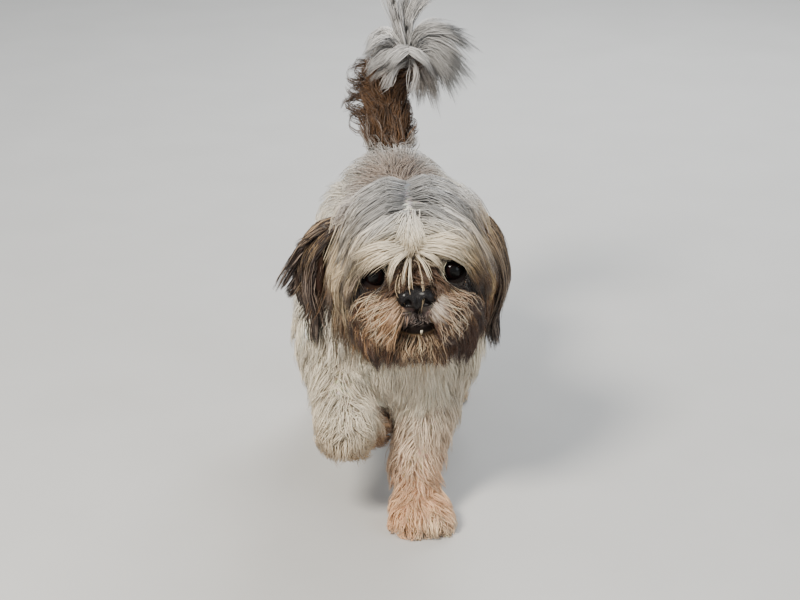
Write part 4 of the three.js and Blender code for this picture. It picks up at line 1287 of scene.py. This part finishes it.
roots = strew(7700, ["head"], face_weight)
x, y, z = in_head(roots).T
side = np.where(x > 0, 1.0, -1.0)
muzzle = soft(-34, -44, y) * soft(-14, -22, z) * soft(38, 28, np.abs(x))
bridge = soft(16, 9, np.abs(x)) * soft(-24, -16, z) * soft(-26, -34, y)
jowl = soft(-8, -26, z) * (1 - muzzle)
fall = soft(-22, -46, z)
cheek_hair = stacked(side * 0.45, mix(-0.1, 0.45, soft(-20, 30, y)), -1.0)
whisker_hair = stacked(side * mix(1.0, 0.75, fall), -0.3, mix(0.05, -0.8, fall))
nose_hair = stacked(side * 0.4, -0.4, -0.8)
lie = mix(mix(cheek_hair, whisker_hair, muzzle[:, None]), nose_hair, bridge[:, None])
lie = lie + rng.normal(0, 0.12, (len(roots), 3))
print("face:", len(roots), "roots,", round(muzzle.mean(), 2), "of them on the muzzle")

# %% Cheeks, muzzle and bridge
near_eye = np.minimum(*[np.linalg.norm(roots - EYES[side], axis=1) for side in (1, -1)])
open_skin = soft(12, 24, near_eye)
lip_middle = soft(12, 8, np.abs(x)) * soft(-26, -31, z)
longest = mix(mix(37, 42, jowl), 35, muzzle)
length = lengths(len(roots), 1.0, 0.2) * longest * mix(1, 0.35, bridge) * mix(0.35, 1, open_skin)
length = length * mix(1, 0.16, lip_middle)
depth = rng.uniform(0, 1, len(roots))
high = 1 + depth * 12 * mix(0.3, 1, open_skin) * mix(1, 0.15, lip_middle)
path, ups = comb(roots, lie @ HEAD.T, length, 1 + high * 0.25, high, 0.55, mix(0.65, 0.2, jowl), 4)
path, guide = gather(path, 14, mix(0.4, 0.9, depth))
path = part_round_eyes(waves(path, ups, guide, 2.0, 0.8), 10)
keep = seen(path, -0.5, -0.05) & open_eyed(path, 9.5)
keep |= (lip_middle > 0.5) & (z > -38)
keep |= (bridge > 0.5) & seen(path, -1.5, -0.45)
path, ups, roots, x, z, muzzle, depth = [values[keep] for values in (path, ups, roots, x, z, muzzle, depth)]
print("face: kept", round(keep.mean(), 2))
base = vary(face_mask(in_head(roots) + rng.normal(0, 2.2, roots.shape)), 0.14, 0.22)
colour = run(base, base, 5)
browned = muzzle * soft(-24, -38, z) * 0.9 + 0.5 * soft(30, 46, np.abs(x)) * soft(-10, -30, z)
ends = np.clip(browned, 0, 0.9) * rng.uniform(0.2, 1, len(roots))
colour[:, 3:] = mix(colour[:, 3:], mix(BROWN, DARK, 0.4), ends[:, None, None])
width = rng.uniform(0.5, 0.95, len(roots))
head_strips("face_coat", path, ups, width, shaded(colour, depth), roots)

# %% Short dark hair round the eyes
for label, side in (("left", 1), ("right", -1)):
    roots = strew(1100, ["head"], lambda p: soft(23, 17, np.linalg.norm(p - EYES[side], axis=1)) + 1e-9)
    rel = roots - EYES[side]
    out = unit(rel - (rel @ LOOKS[side])[:, None] * LOOKS[side])
    lie = out + P(0, 0, -0.4) + rng.normal(0, 0.2, roots.shape)
    high = rng.uniform(0.8, 3, len(roots))
    path, ups = comb(roots, lie, lengths(len(roots), 8.5, 0.3), 0.6, high, 0.3, 0.7, 3)
    path, guide = gather(path, 8, 0.6)
    path = part_round_eyes(path, 10.2, (0, 1))
    # round the left eye the hair is made darker still with painted shade in its socket
    around_eye = mix(DARK, BROWN, 0.15) if side < 0 else DARK * 0.8
    colour = vary(over(around_eye, TAN, 0.5 * (rng.uniform(0, 1, len(roots)) < 0.12)), 0.25)
    width = rng.uniform(0.5, 0.9, len(roots))
    head_strips(label + "_eye_hair", path, ups, width, run(colour, colour * 1.2, 4, 0.8), roots)

# %% [markdown]
# Locks laid on the face
#
# What makes this face is a few dozen locks: pale wisps that fall from the point between the brows past the
# eyes and over the nose, and the moustache that springs from beside the nose and falls in arcs. Each lock is
# drawn as seen from the front, from root through a middle place to its tip, and pressed onto the face.

# %% Draw and press locks
def pressed(p, height):
    """Moves places along the way the face looks until they are at a height over the skin, or hang free."""
    back = head_way(0, 1, 0)
    for _ in range(14):
        distance, _ = field(p.reshape(-1, 3), EARLESS)
        p = p + back * ((distance.reshape(p.shape[:2]) - height) * 0.8)[..., None]
    h = in_head(p)
    free = -60 + 0.5 * np.abs(h[..., 0]) + 16 * soft(-34, -20, h[..., 2])
    return p - back * np.maximum(h[..., 1] - free, 0)[..., None] * soft(-24, -44, h[..., 2])[..., None]


def laid_locks(locks, steps=5):
    """Locks of (root, middle, tip, hairs, breadth, height, pointed), places as (x, z) on the head."""
    paths, numbers, depths = [], [], []
    for number, (root, middle, tip, hairs, breadth, height, pointed) in enumerate(locks):
        fan = rng.normal(0, 1, (hairs, 2))
        wides = (0.3, 0.5, 0.45 * (1 - pointed))
        start, middle, end = [np.array(p) + fan * breadth * wide for p, wide in zip((root, middle, tip), wides)]
        end = mix(middle, end, rng.uniform(0.55, 1.05, (hairs, 1)))
        flat = arc(start, middle, end, steps + 1)
        spot = stacked(flat[..., 0], -50.0, flat[..., 1]) @ HEAD.T + SKULL_CENTRE
        depths.append(rng.uniform(0.25, 1, hairs))
        rise = depths[-1][:, None] * height * np.sin(np.linspace(0.35, 2.5, steps + 1))[None]
        rise[:, 0] = -1.2
        paths.append(pressed(spot, rise))
        numbers.append(np.full(hairs, number))
    return np.concatenate(paths), np.concatenate(numbers), np.concatenate(depths)


def same_up(path, x, y, z):
    """One way up, given on the head, for every place of some paths."""
    return np.tile(head_way(x, y, z), (*path.shape[:2], 1))


# %% Fringe and wisps


pale = mix(WHITE, CREAM, 0.7)
WISPS = [
    ((0, 10), (-13.5, 6), (-21.5, -16), 44, 1.7, 13, 0.85),
    ((-1, 9), (-7, -1), (-10, -20), 12, 1.1, 11, 0.8),
    ((2, 9), (15, 6), (25, -13), 36, 1.6, 12, 0.85),
    ((1, 8), (9, 0), (15, -17), 8, 1.4, 10, 0.7),
    ((-1, 8), (-3, -4), (-4, -19), 8, 1.0, 10, 0.8),
    ((-5, 4), (-14, -12), (-9, -30), 7, 0.9, 8, 0.6),
    ((2, 6), (6, -11), (1, -38), 7, 0.8, 9, 0.6),
    ((0, 5), (-4, -9), (0, -31), 5, 0.7, 9, 0.6),
    ((2, 12), (26, 12), (45, -7), 120, 4.4, 13, 0.4),
    ((-2, 12), (-24, 9), (-43, -10), 130, 4.2, 12, 0.4),
    ((6, 14), (30, 19), (52, 0), 110, 4.6, 13, 0.4),
    ((-6, 14), (-31, 16), (-54, -4), 110, 4.6, 13, 0.4),
]
path, number, depth = laid_locks(WISPS)
on_nose = (number > 4) & (number < 8)
keep = seen(path, -5.0, -0.6) | on_nose
path, on_nose, depth = path[keep], on_nose[keep], depth[keep]
path = waves(path, same_up(path, 0, -1, 0), np.arange(len(path)), 0.9, 0.7)
ups = same_up(path, 0, -1, 0.15)
tone = over(pale, mix(TAN, BROWN, 0.35), 0.85 * (depth < 0.52))
tone = over(tone, mix(GOLD, TAN, 0.5), on_nose * 0.6)
colour = run(vary(tone, 0.1, 0.06), vary(mix(tone, GOLD, 0.4), 0.1), 6, 0.7)
width = rng.uniform(0.4, 0.85, len(path)) * mix(1, 0.7, on_nose)
head_strips("fringe_coat", path, ups, width, colour, path[:, 0])

# %% Moustache
moustache = []
for side in (1, -1):
    for i in range(33):
        t = (i % 11) / 10
        ring = i // 11
        root = (side * (mix(14, 12, t) + 8 * ring), mix(-23, -43, t) - ring)
        middle = (side * (mix(31, 20, t) + 8 * ring), mix(-33, -60, t) - 3 * ring)
        tip = (side * (mix(45, 23, t) + 5 * ring), mix(-56, -84, t) - 5 * ring)
        moustache.append((root, middle, tip, 80, 5.0, 14, 0.4))
path, _, depth = laid_locks(moustache, 4)
h = in_head(path.reshape(-1, 3)).reshape(path.shape)
in_mouth = (np.abs(h[..., 0]) < 16.5) & (h[..., 2] > -56) & (h[..., 2] < -43)
keep = seen(path, 0, 0.02) & ~in_mouth[:, 1:].any(1)
path, depth = path[keep], depth[keep]
ups = same_up(path, 0, -1, 0.3)
path, guide = gather(path, 16, mix(0.3, 0.85, depth))
path = waves(path, ups, guide, 2.6, 0.9)
print("moustache:", len(moustache), "locks, kept", round(keep.mean(), 2))

# %% Shades of the moustache
h = in_head(path.reshape(-1, 3)).reshape(path.shape)
# light is a painted light level for each tuft: hair low in the coat gets painted shade, and on the dog's left side the
# hair is darker, partly in its own colour and partly as painted shade
light = 0.6 * depth + 0.4 * rng.uniform(0, 1, len(path))[guide] - 0.15 - 0.24 * (h[:, 0, 0] > 0)
tone = over(mix(BROWN, DARK, 0.3), mix(TAN, BROWN, 0.2), soft(0.4, 0.6, light))
tone = over(tone, mix(PINK_BEIGE, GOLD, 0.3), soft(0.62, 0.8, light) * 0.9)
tone = over(tone, pale, soft(0.82, 0.94, light) * 0.8)
base = vary(tone, 0.14, 0.08)[:, None].repeat(5, 1)
near_nose = soft(28, 18, np.abs(h[..., 0])) * soft(-44, -34, h[..., 2]) * soft(0.3, 0.5, depth)[:, None]
whiter = mix(mix(PINK_BEIGE, CREAM, 0.3), WHITE, 0.6 * (h[..., :1] > 0))
base = mix(base, whiter, (near_nose * rng.uniform(0.35, 0.95, (len(path), 1)))[..., None])
ends = soft(-50, -74, h[..., 2] + 6 * (h[..., 0] < 0)) * (light < 0.66)[:, None]
base = mix(base, mix(BROWN, DARK, 0.3), (ends * 0.85)[..., None])
width = rng.uniform(0.4, 0.85, len(path))
head_strips("moustache_coat", path, ups, width, shaded(base, depth), path[:, 0])

# %% Stray hair over the moustache
stray = []
for _ in range(130):
    side, t = rng.choice((1, -1)), rng.uniform(0, 1)
    root = np.array([side * rng.uniform(12, 30), mix(-20, -42, t)])
    middle = root + np.array([side * mix(20, 9, t), mix(-7, -18, t)]) * rng.uniform(0.6, 1.2)
    tip = middle + np.array([side * rng.uniform(-7, 9), -rng.uniform(14, 30)])
    stray.append((root, middle, tip, 3, 1.4, 17, 0.5))
path, _, _ = laid_locks(stray, 6)
path = path[seen(path, -1, -0.1)]
ups = same_up(path, 0, -1, 0.3)
path = waves(path, ups, np.arange(len(path)), 2.6, 1.0)
tone = over(CREAM, mix(PINK_BEIGE, TAN, 0.4), rng.uniform(0, 1, len(path)))
colour = run(vary(tone, 0.1), vary(tone, 0.1), 7, 0.7)
width = rng.uniform(0.28, 0.42, len(path))
head_strips("stray_coat", path, ups, width, colour, path[:, 0])

# %% [markdown]
# The beard
#
# Short wispy hair fans out from the lower lip and hangs from the chin, pale in the middle, brown at the sides
# and at the tips.

# %% Beard
roots = strew(3000, ["lower_jaw"], lambda p: keep_clear(p) * (0.4 + soft(0, -50, in_head(p)[:, 1])))
x, y, z = in_head(roots).T
lie = stacked(x / 24, y / 110, -1.0) + rng.normal(0, 0.16, (len(x), 3))
length = lengths(len(roots), 1.0, 0.25) * mix(20, 28, soft(4, 16, np.abs(x)))
depth = rng.uniform(0, 1, len(roots))
high = mix(2, 13, depth)
path, ups = comb(roots, lie @ HEAD.T, length, 1 + high * 0.25, high, 0.4, 0.2, 4)
path, guide = gather(path, 16, mix(0.4, 0.9, depth))
path = waves(path, ups, guide, 2.6, 0.9)
keep = seen(path)
path, ups, roots, x, y, depth = [values[keep] for values in (path, ups, roots, x, y, depth)]
lit = 0.6 * depth + 0.4 * rng.uniform(0, 1, len(roots))
tone = over(mix(BROWN, TAN, 0.1), mix(TAN, CREAM, 0.2), soft(0.4, 0.65, lit) * soft(20, 8, np.abs(x)))
tone = over(tone, mix(CREAM, GOLD, 0.3), soft(0.78, 0.92, lit) * soft(18, 8, np.abs(x)) * 0.85)
colour = vary(over(tone, CREAM, soft(-34, -14, y) * 0.6), 0.14, 0.1)
tips = over(colour, mix(BROWN, DARK, 0.3), rng.uniform(0.3, 1, len(roots)) * soft(0, 10, np.abs(x)))
width = rng.uniform(0.5, 0.95, len(roots))
beard_map = unrolled(roots, [on_head(0, 20, -56), on_head(0, -60, -56)])
strips("beard_coat", path, ups, width, shaded(run(colour, tips, 5), depth), beard_map, silky)

# %% [markdown]
# The ears
#
# The ear hair lies along the outside of the leather and hangs past its tip. On the dog's right ear the wind
# lifts a few locks away from the head. The tufts follow the ear's own spine instead of the field.

# %% Spines of the ears
def ear_spine(side, blown):
    places = [(46, 14, 20), (60, 13, 12), (69, 10, -10), (72, 7, -38), (61, 1, -66)]
    if blown:
        places = [(46, 14, 24), (65, 13, 17), (81, 10, -5), (84, 7, -29), (79, 4, -52)]
    return through([on_head(side * x, y, z) for x, y, z in places], 200)


def along_curve(curve, t):
    return curve[(np.clip(t, 0, 1) * (len(curve) - 1)).astype(int)]


print("the right ear's tip is", round(np.linalg.norm(ear_spine(-1, 1)[-1] - ear_spine(-1, 0)[-1])), "mm off rest")

# %% Hair along an ear
def ear_hair(side, blown, count=2250):
    """Paths, ways up, places on the map and depths of the hair along one ear, outer and inner."""
    spine, facing = ear_spine(side, blown), ear_facing(blown)
    start = rng.uniform(0, 1, count) ** 1.2 * 0.96 - 0.04
    leaf = (19 if blown else 22) * (0.6 + 0.4 * np.sin(np.clip(start * 1.25, 0, 1) * np.pi * 0.9 + 0.1))
    across = rng.uniform(-1 + 0.2 * blown, 1, count) * leaf
    inner = rng.uniform(0, 1, count) < 0.25
    reach = rng.uniform(0.35, 0.66, count)
    depth = rng.uniform(0, 1, count)
    stand = np.where(inner, -mix(2, 4, depth), mix(1, 6.5, depth))
    steps = []
    for t in np.linspace(0, 1, 6):
        s = start + reach * t
        hang = np.maximum(s - 1, 0) * 58
        out = np.where(inner, -3, 3.5 - 1.5 * (1 - blown)) + stand * t * (1.3 - 0.6 * t)
        wide = across * mix(1.0, 0.8, t)
        local = stacked(side * (out + wide * facing), wide - out * facing, -hang)
        steps.append(along_curve(spine, s) + local @ HEAD.T)
    path = np.stack(steps, 1)
    path[:, 0] -= head_way(side * 2.5, 0, 0) * np.where(inner, -1, 1)[:, None]
    ups = same_up(path, side, -facing, 0.1)
    path, guide = gather(path, 13, 0.7)
    path = waves(path, ups, guide, 1.8, 0.7)
    return path, ups, beside(0.03 + 0.94 * stacked(0.5 + across / 50, start), (1 - side) / 2, 2), depth


# %% Locks that the wind lifts off the right ear
def blown_locks(count=300):
    """Five locks that bow outwards and down. Each lock has one place on the map."""
    lock = rng.integers(0, 5, count)
    root = along_curve(ear_spine(-1, 1), 0.22 + 0.11 * lock + rng.normal(0, 0.03, count))
    shake = stacked(-4.0, 5 * lock - 6 + rng.normal(0, 2.5, count), rng.normal(0, 1.5, count))
    root = root + shake @ HEAD.T
    forward = -0.1 * lock + rng.normal(0, 0.06, count)
    way = stacked(-1.0, forward, -0.15 - 0.2 * lock + rng.normal(0, 0.06, count)) @ HEAD.T
    far = np.linspace(0, 1, 6)[None, :, None] * (rng.uniform(0.7, 1, count) * (37 - 3 * lock))[:, None, None]
    path = root[:, None] + way[:, None] * far - P(0, 0, 1) * far**2 * 0.014
    path, guide = gather(path, 50, 0.97)
    ups = same_up(path, -0.2, -1, 0.5)
    path = waves(path, ups, guide, 2.2, 0.7)
    return path, ups, beside(stacked(0.5 + lock / 14, 0.3 + lock * 0.1), 1, 2), np.ones(count)


# %% Ears
regions = [ear_hair(1, 0), ear_hair(-1, 1), blown_locks()]
path, ups, ear_map, depth = [np.concatenate(values) for values in zip(*regions)]
streaks = rng.uniform(0, 1, len(path))
grizzle = mix(TAN, SILVER, 0.3)
tone = over(mix(DARK, BROWN, 0.25), grizzle, soft(0.62, 0.8, streaks) * 0.7)
tone = over(tone, mix(GOLD, TAN, 0.4), soft(0.4, 0.1, ear_map[:, 1]) * soft(0.4, 0.7, streaks) * 0.6)
golden = (ear_map[:, 0] < 0.5) * soft(0.8, 0.3, ear_map[:, 1])
tone = over(tone, mix(GOLD, grizzle, 0.6), golden * soft(0.2, 0.6, streaks) * 0.7)
colour = vary(tone, 0.2)
width = rng.uniform(0.6, 1.1, len(path))
strips("ear_coat", path, ups, width, shaded(run(colour, colour * 0.7, 6), depth), ear_map, silky)

# %% [markdown]
# Neck, chest and trunk
#
# The trimmed coat of the body is about a centimetre and a half deep and fluffy. It runs back and down along
# the trunk, straight down over the breast, and its locks wave.

# %% Grow a region of coat
def grow(
    name, count, parts, lie_of, length, high, look, map_of,
    weight=None, tips_of=None, trim=None, steps=3, material=fluffy, slot="white_coat", spread=0.07, dark=0.0,
):
    """A region of coat: roots, paths, locks, waves and colours in one go."""
    roots = strew(count, parts, weight)
    _, away = field(onto_skin(roots, rounds=2))
    depth = rng.uniform(0.1, 1, len(roots)) ** 0.7
    tall = depth * high
    size = lengths(len(roots), length) * mix(0.75, 1.1, depth) * (1 if trim is None else trim(roots))
    lie = lie_of(roots, away) + rng.normal(0, 0.2, roots.shape)
    path, ups = comb(roots, lie, size, 1 + tall * 0.35, tall, look["droop"], look["cling"], steps)
    path, guide = gather(path, look["lock"], look["gather"] * mix(0.6, 1.1, depth))
    path = waves(path, ups, guide, look["wave"], 0.9)
    colour = vary(markings(roots + rng.normal(0, 3, roots.shape)), spread, dark)
    tones = look["tones"]
    colour = colour * mix(1 - tones, 1 + tones / 4, rng.uniform(0, 1, len(roots))[guide])[:, None]
    # painted shade: hair low in the coat turns darker and tan, as in the gaps between locks
    colour = over(colour, colour * TAN / CREAM, tones * soft(0.7, 0.2, depth))
    tips = colour * 1.05 if tips_of is None else tips_of(roots, colour, path[:, -1])
    width = rng.uniform(*look["width"], len(roots))
    shades = run(colour, tips, steps + 1, 0.8)
    if slot == "dark_coat":
        shades = shaded(shades, depth)
    strips(name, path, ups, width, shades, map_of(roots), material)


# %% Lie of the trunk's coat
def trunk_lie(p, away):
    chest = soft(104, 84, p[:, 1]) * soft(205, 180, p[:, 2])
    back = stacked(away[:, 0] * 0.3, 0.8, -0.25 - 0.6 * np.abs(away[:, 0]))
    front = stacked(away[:, 0] * 0.55, -0.25, -1.0)
    return mix(back, front, chest[:, None])


def neck_lie(_, away):
    throat = soft(0.1, -0.5, away[:, 1] + away[:, 2] * 0.6)
    back = stacked(away[:, 0], 0.7, -0.6)
    front = stacked(away[:, 0] * 0.6, -0.3, -1.0)
    return mix(back, front, throat[:, None])


def neck_map(p):
    return unrolled(p, [on_head(0, 34, -14), WITHERS])


def trunk_map(p):
    return unrolled(p, BODY_AXIS)


# %% Neck, chest and trunk
# tones: how much locks differ at random, and how much painted shade lies on the hair low in the coat
BODY_LOOK = {"droop": 0.3, "cling": 0.6, "lock": 24, "gather": 0.6, "wave": 2.2, "width": (0.5, 0.95), "tones": 0.16}
grow("neck_coat", 2700, ["neck"], neck_lie, 36, 13.5, BODY_LOOK, neck_map)
grow("chest_coat", 6300, ["torso"], trunk_lie, 31, 14, BODY_LOOK, trunk_map, lambda p: soft(112, 92, p[:, 1]))
grow(
    "trunk_coat", 7500, ["torso"], trunk_lie, 38, 14, BODY_LOOK, trunk_map, lambda p: soft(84, 104, p[:, 1]),
    spread=0.1,
)

# %% [markdown]
# The legs and paws
#
# The legs are feathered: hair falls down and outwards from the bone like a trouser leg. On the lifted foreleg
# it rays out from a line down its front. Paw hair is short, points forwards and spreads over the toes.

# %% Lie, tips and length of the legs' coat
def leg_lie(p, away):
    lifted_front = soft(60, 40, p[:, 1]) * soft(-10, -24, p[:, 0]) * soft(60, 70, p[:, 2])
    fall = stacked(away[:, 0] * 0.5, away[:, 1] * 0.5, -1.0)
    rays = stacked(np.tanh((p[:, 0] + 45) / 9) * 0.95, -0.25, -0.8)
    return mix(fall, rays, lifted_front[:, None])


def leg_tips(p, colour, ends):
    """Shades of the tips: mostly those of the place that they reach."""
    reached = markings(ends) * (colour.sum(1) / markings(p).sum(1))[:, None]
    return over(mix(colour, reached, 0.8), TAN, 0.3 * rng.uniform(0, 1, len(p)) * soft(140, 60, p[:, 2]))


def from_wrist(p):
    """How far places are from the turned-under wrist of the lifted foreleg."""
    return np.linalg.norm(p - RIGHT_FORE[2], axis=1)


def leg_trim(p):
    return mix(0.6, 1, soft(30, 90, p[:, 2]) * soft(4, 34, from_wrist(p)))


def near_wrist(p):
    """Denser at the turned-under wrist, which is seen from in front."""
    return 1 + 2.5 * soft(40, 18, from_wrist(p))


def pair_map(left, right):
    """A map in two columns: the left and the right leg of a pair, each unrolled round its bones."""
    def leg_map(p):
        is_left = (p[:, 0] > MIDLINE)[:, None]
        return np.where(is_left, beside(unrolled(p, left), 0, 2), beside(unrolled(p, right), 1, 2))

    return leg_map


# %% Legs
LEG_LOOK = {"droop": 0.15, "cling": 0.45, "lock": 24, "gather": 0.62, "wave": 3.0, "width": (0.5, 0.95), "tones": 0.26}
for name, count, left, right in (
    ("foreleg", 8700, LEFT_FORE, RIGHT_FORE),
    ("hind_leg", 4200, LEFT_HIND, RIGHT_HIND),
):
    grow(
        name + "_coat", count, ["left_" + name, "right_" + name], leg_lie, 29, 13, LEG_LOOK,
        pair_map(left, right), near_wrist, leg_tips, leg_trim,
    )

# %% Paws
LEGS = (LEFT_FORE, RIGHT_FORE, LEFT_HIND, RIGHT_HIND)
PAWS = ["left_forepaw", "right_forepaw", "left_hind_paw", "right_hind_paw"]


def paw_lie(p, away):
    standing = stacked(away[:, 0], away[:, 1] * 0.6 - 0.5, -0.6)
    folded = unit(lifted - RIGHT_FORE[2]) + away * 0.4
    is_folded = (p[:, 2] > 48) & (p[:, 0] < MIDLINE)
    return np.where(is_folded[:, None], folded, standing)


def paw_map(p):
    """A map in four columns, one for the nearest of the four paws."""
    nearest = np.argmin([np.linalg.norm(p - leg[3], axis=1) for leg in LEGS], axis=0)
    found = np.zeros((len(p), 2))
    for i, leg in enumerate(LEGS):
        column = beside(unrolled(p, [leg[2], leg[3] + P(0, -20, -6)]), i, len(LEGS))
        found = np.where((nearest == i)[:, None], column, found)
    return found


PAW_LOOK = {"droop": 0.2, "cling": 0.4, "lock": 18, "gather": 0.75, "wave": 2.0, "width": (0.48, 0.88), "tones": 0.24}
grow(
    "paw_coat", 5400, PAWS, paw_lie, 19, 8.5, PAW_LOOK, paw_map, lambda p: soft(1.5, 5, p[:, 2]),
    slot="cream_coat", spread=0.14,
)

# %% [markdown]
# The tail
#
# The stem of the tail is brown and bristles with curly tips. From its curl the plume fans out in sweeps: over
# to the dog's left, curling back on its right, and blown up in the middle. Two short sweeps cross over the
# parting in front. Each sweep runs from one guide to the next, and a tuft of it bends from the root through a
# middle place to its tip. On the OFBake map these tufts lie sweep by sweep, and not by their roots.

# %% Stem
def stem_lie(_, away):
    return P(-0.15, 0.0, 1.0) + away * P(0.9, 0.4, 0.75)


def stem_tips(p, colour, _):
    return over(colour, DARK, rng.uniform(0, 0.8, len(p)))


def stem_map(p):
    return unrolled(p, TAIL[:4])


STEM_LOOK = {"droop": 0.1, "cling": 0.2, "lock": 24, "gather": 0.9, "wave": 4, "width": (0.6, 1.1), "tones": 0.3}
grow(
    "stem_coat", 2350, ["tail_stem", "tail_curl"], stem_lie, 30, 12, STEM_LOOK, stem_map,
    lambda p: soft(322, 310, p[:, 2]) + 1e-9, stem_tips,
    steps=4, material=silky, slot="dark_coat", spread=0.16, dark=0.1,
)

# %% Guides of the plume's sweeps
# each row: (middle, tip) of its first guide and of its last, then hairs, breadth and curl, with y counted from
# the plume's root
SWEEPS = [
    (((20, -2, 352), (58, -8, 354)), ((30, -4, 350), (74, -12, 322)), 4, 18, 3.5),
    (((30, -4, 346), (74, -14, 316)), ((28, 4, 322), (52, 0, 276)), 5, 20, 3.0),
    (((24, 10, 322), (44, 8, 268)), ((12, 14, 314), (18, 10, 276)), 2, 18, 4.0),
    (((30, 20, 340), (56, 32, 292)), ((14, 26, 318), (16, 26, 268)), 3, 19, 3.0),
    (((-1, -14, 312), (-28, -20, 280)), ((-6, -14, 308), (-33, -16, 294)), 0.5, 12, 6.0),
    (((-14, -6, 334), (-38, -8, 316)), ((-18, -4, 318), (-40, -6, 286)), 1.1, 14, 6.0),
    (((-8, -8, 322), (-26, -12, 306)), ((-12, -6, 314), (-28, -10, 296)), 0.7, 12, 4.0),
    (((8, -14, 314), (10, -20, 284)), ((12, -14, 316), (14, -20, 288)), 0.2, 12, 5.0),
    (((-12, -6, 350), (-36, -8, 334)), ((-20, -2, 338), (-42, -6, 312)), 1.0, 16, 7.0),
    (((-10, 2, 346), (-26, 2, 342)), ((-14, 6, 328), (-32, 4, 312)), 1.6, 14, 5.0),
    (((-16, 22, 346), (-38, 36, 312)), ((-6, 28, 330), (-14, 40, 284)), 2, 17, 3.0),
    (((-10, 4, 362), (-17, 0, 394)), ((-4, 4, 366), (-5, -2, 396)), 0.7, 12, 3.0),
    (((6, 0, 364), (20, -2, 392)), ((13, 2, 362), (33, -4, 386)), 2.2, 13, 2.0),
    (((0, -4, 362), (2, -8, 392)), ((4, 14, 362), (8, 20, 386)), 0.9, 12, 2.5),
    (((4, -19, 339), (-27, -22, 326)), ((5, -21, 333), (-17, -25, 302)), 0.8, 13, 3.0),
    (((12, -19, 339), (38, -20, 328)), ((11, -21, 333), (28, -23, 304)), 0.8, 13, 3.0),
]
CROSSING = {14: P(17, 300, 333), 15: P(-3, 302, 335)}  # roots of the two sweeps that cross over the parting
print(len(SWEEPS), "sweeps, the highest tip at", max(guide[1][2] for row in SWEEPS for guide in row[:2]), "mm")

# %% Lay the sweeps
def plume_up(path):
    return unit(path - PLUME_ROOT + P(0, 0, 30))


def sweep(number, first, last, hairs, breadth, curl):
    """Paths of one sweep, and their places on the map."""
    total = int(hairs * breadth * 9.6)
    t = rng.uniform(-0.06, 1.06, total)[:, None]
    first, last = [np.array(guide, float) + P(0, PLUME_ROOT[1], 0) for guide in (first, last)]
    shake = rng.normal(0, breadth * 0.12, (total, 3))
    middle = mix(first[0], last[0], t) + shake
    tip = mix(first[1], last[1], t) + shake * 1.1
    tip = mix(middle, tip, rng.uniform(0.5, 1.03, total)[:, None])
    start = CROSSING.get(number, mix(PLUME_ROOT, middle, 0.3))
    root = onto_skin(start + rng.normal(0, 5, (total, 3)), -1.0)
    path = arc(root, middle, tip, 6)
    path, guide = gather(path, 14 if hairs > 1.2 else 40, rng.uniform(0.6, 1.1, total))
    path = waves(path, plume_up(path), guide, curl, 0.9)
    across = (number + 0.1 + 0.8 * np.clip(t[:, 0], 0, 1)) / len(SWEEPS)
    return path, stacked(across, rng.uniform(0.05, 0.95, total))


laid = [sweep(number, *guides) for number, guides in enumerate(SWEEPS)]
stem_from = sum(len(path) for path, _ in laid)
print("sweeps of", stem_from, "tufts")

# %% Curly tips beside the stem
def stem_curl(number, total=10):
    """A lock that stands out from the stem and hooks. All but the first ten are on the dog's right."""
    to_right = number > 9
    low, high = (250, 308) if to_right else (236, 262)
    level = mix(low, high, rng.uniform(0, 1))
    beside_stem = P(-22 if to_right else 6, 336 + rng.normal(0, 6), level)
    root = onto_skin(beside_stem + rng.normal(0, 2.2, (total, 3)), -1.0)
    reach = rng.uniform(0.75, 1, total)[:, None, None] * (rng.uniform(38, 58) if to_right else rng.uniform(22, 30))
    hook = rng.choice((-1, 1)) * rng.uniform(1.6, 3.6)
    heading = rng.uniform(-0.3, 0.4) - 0.2 * hook + hook * np.linspace(0, 1, 6)[None, :, None] ** 2.2
    heading = heading + rng.normal(0, 0.12, (total, 1, 1))
    outwards = -np.cos(heading) * (1 if to_right else -1)
    stride = np.concatenate([outwards, 0.1 * np.cos(heading), np.sin(heading)], 2) * reach / 6
    path = np.concatenate([root[:, None], root[:, None] + np.cumsum(stride, 1)], 1)[:, :6]
    path, _ = gather(path, 12, 0.9)
    return path, stacked(rng.uniform(0.05, 0.95, total), 0.03)


laid += [stem_curl(number) for number in range(46)]
print("curls of", sum(len(path) for path, _ in laid) - stem_from, "tufts")

# %% Shades of the plume
in_front = slice(sum(len(path) for path, _ in laid[:4]), sum(len(path) for path, _ in laid[:8]))
path, plume_map = [np.concatenate(values) for values in zip(*laid)]
ups = plume_up(path)
brown_under = soft(334, 304, path[:, 2, 2]) * soft(-16, -6, path[:, 2, 1] - PLUME_ROOT[1])
tone = over(mix(WHITE, SILVER, 0.6), mix(TAN, SILVER, 0.25), brown_under * 0.8)
# painted shade on the sweeps in front and on the plume's right side
tone[in_front] *= 0.84
tone[path[:, 4, 0] > 30] *= 0.72
tone[stem_from:] = mix(BROWN, TAN, 0.3)
depth = rng.uniform(0.1, 1, len(path))
tone = tone * mix(0.7, 1.06, rng.uniform(0, 1, len(path)) ** 0.5)[:, None]
shades = shaded(run(vary(tone, 0.1), vary(tone, 0.1), 6), depth)
shades[stem_from:, 3:] *= 0.55
width = rng.uniform(0.6, 1.1, len(path))
width[stem_from:] *= 0.8
strips("plume_coat", path, ups, width, shades, plume_map, silky)
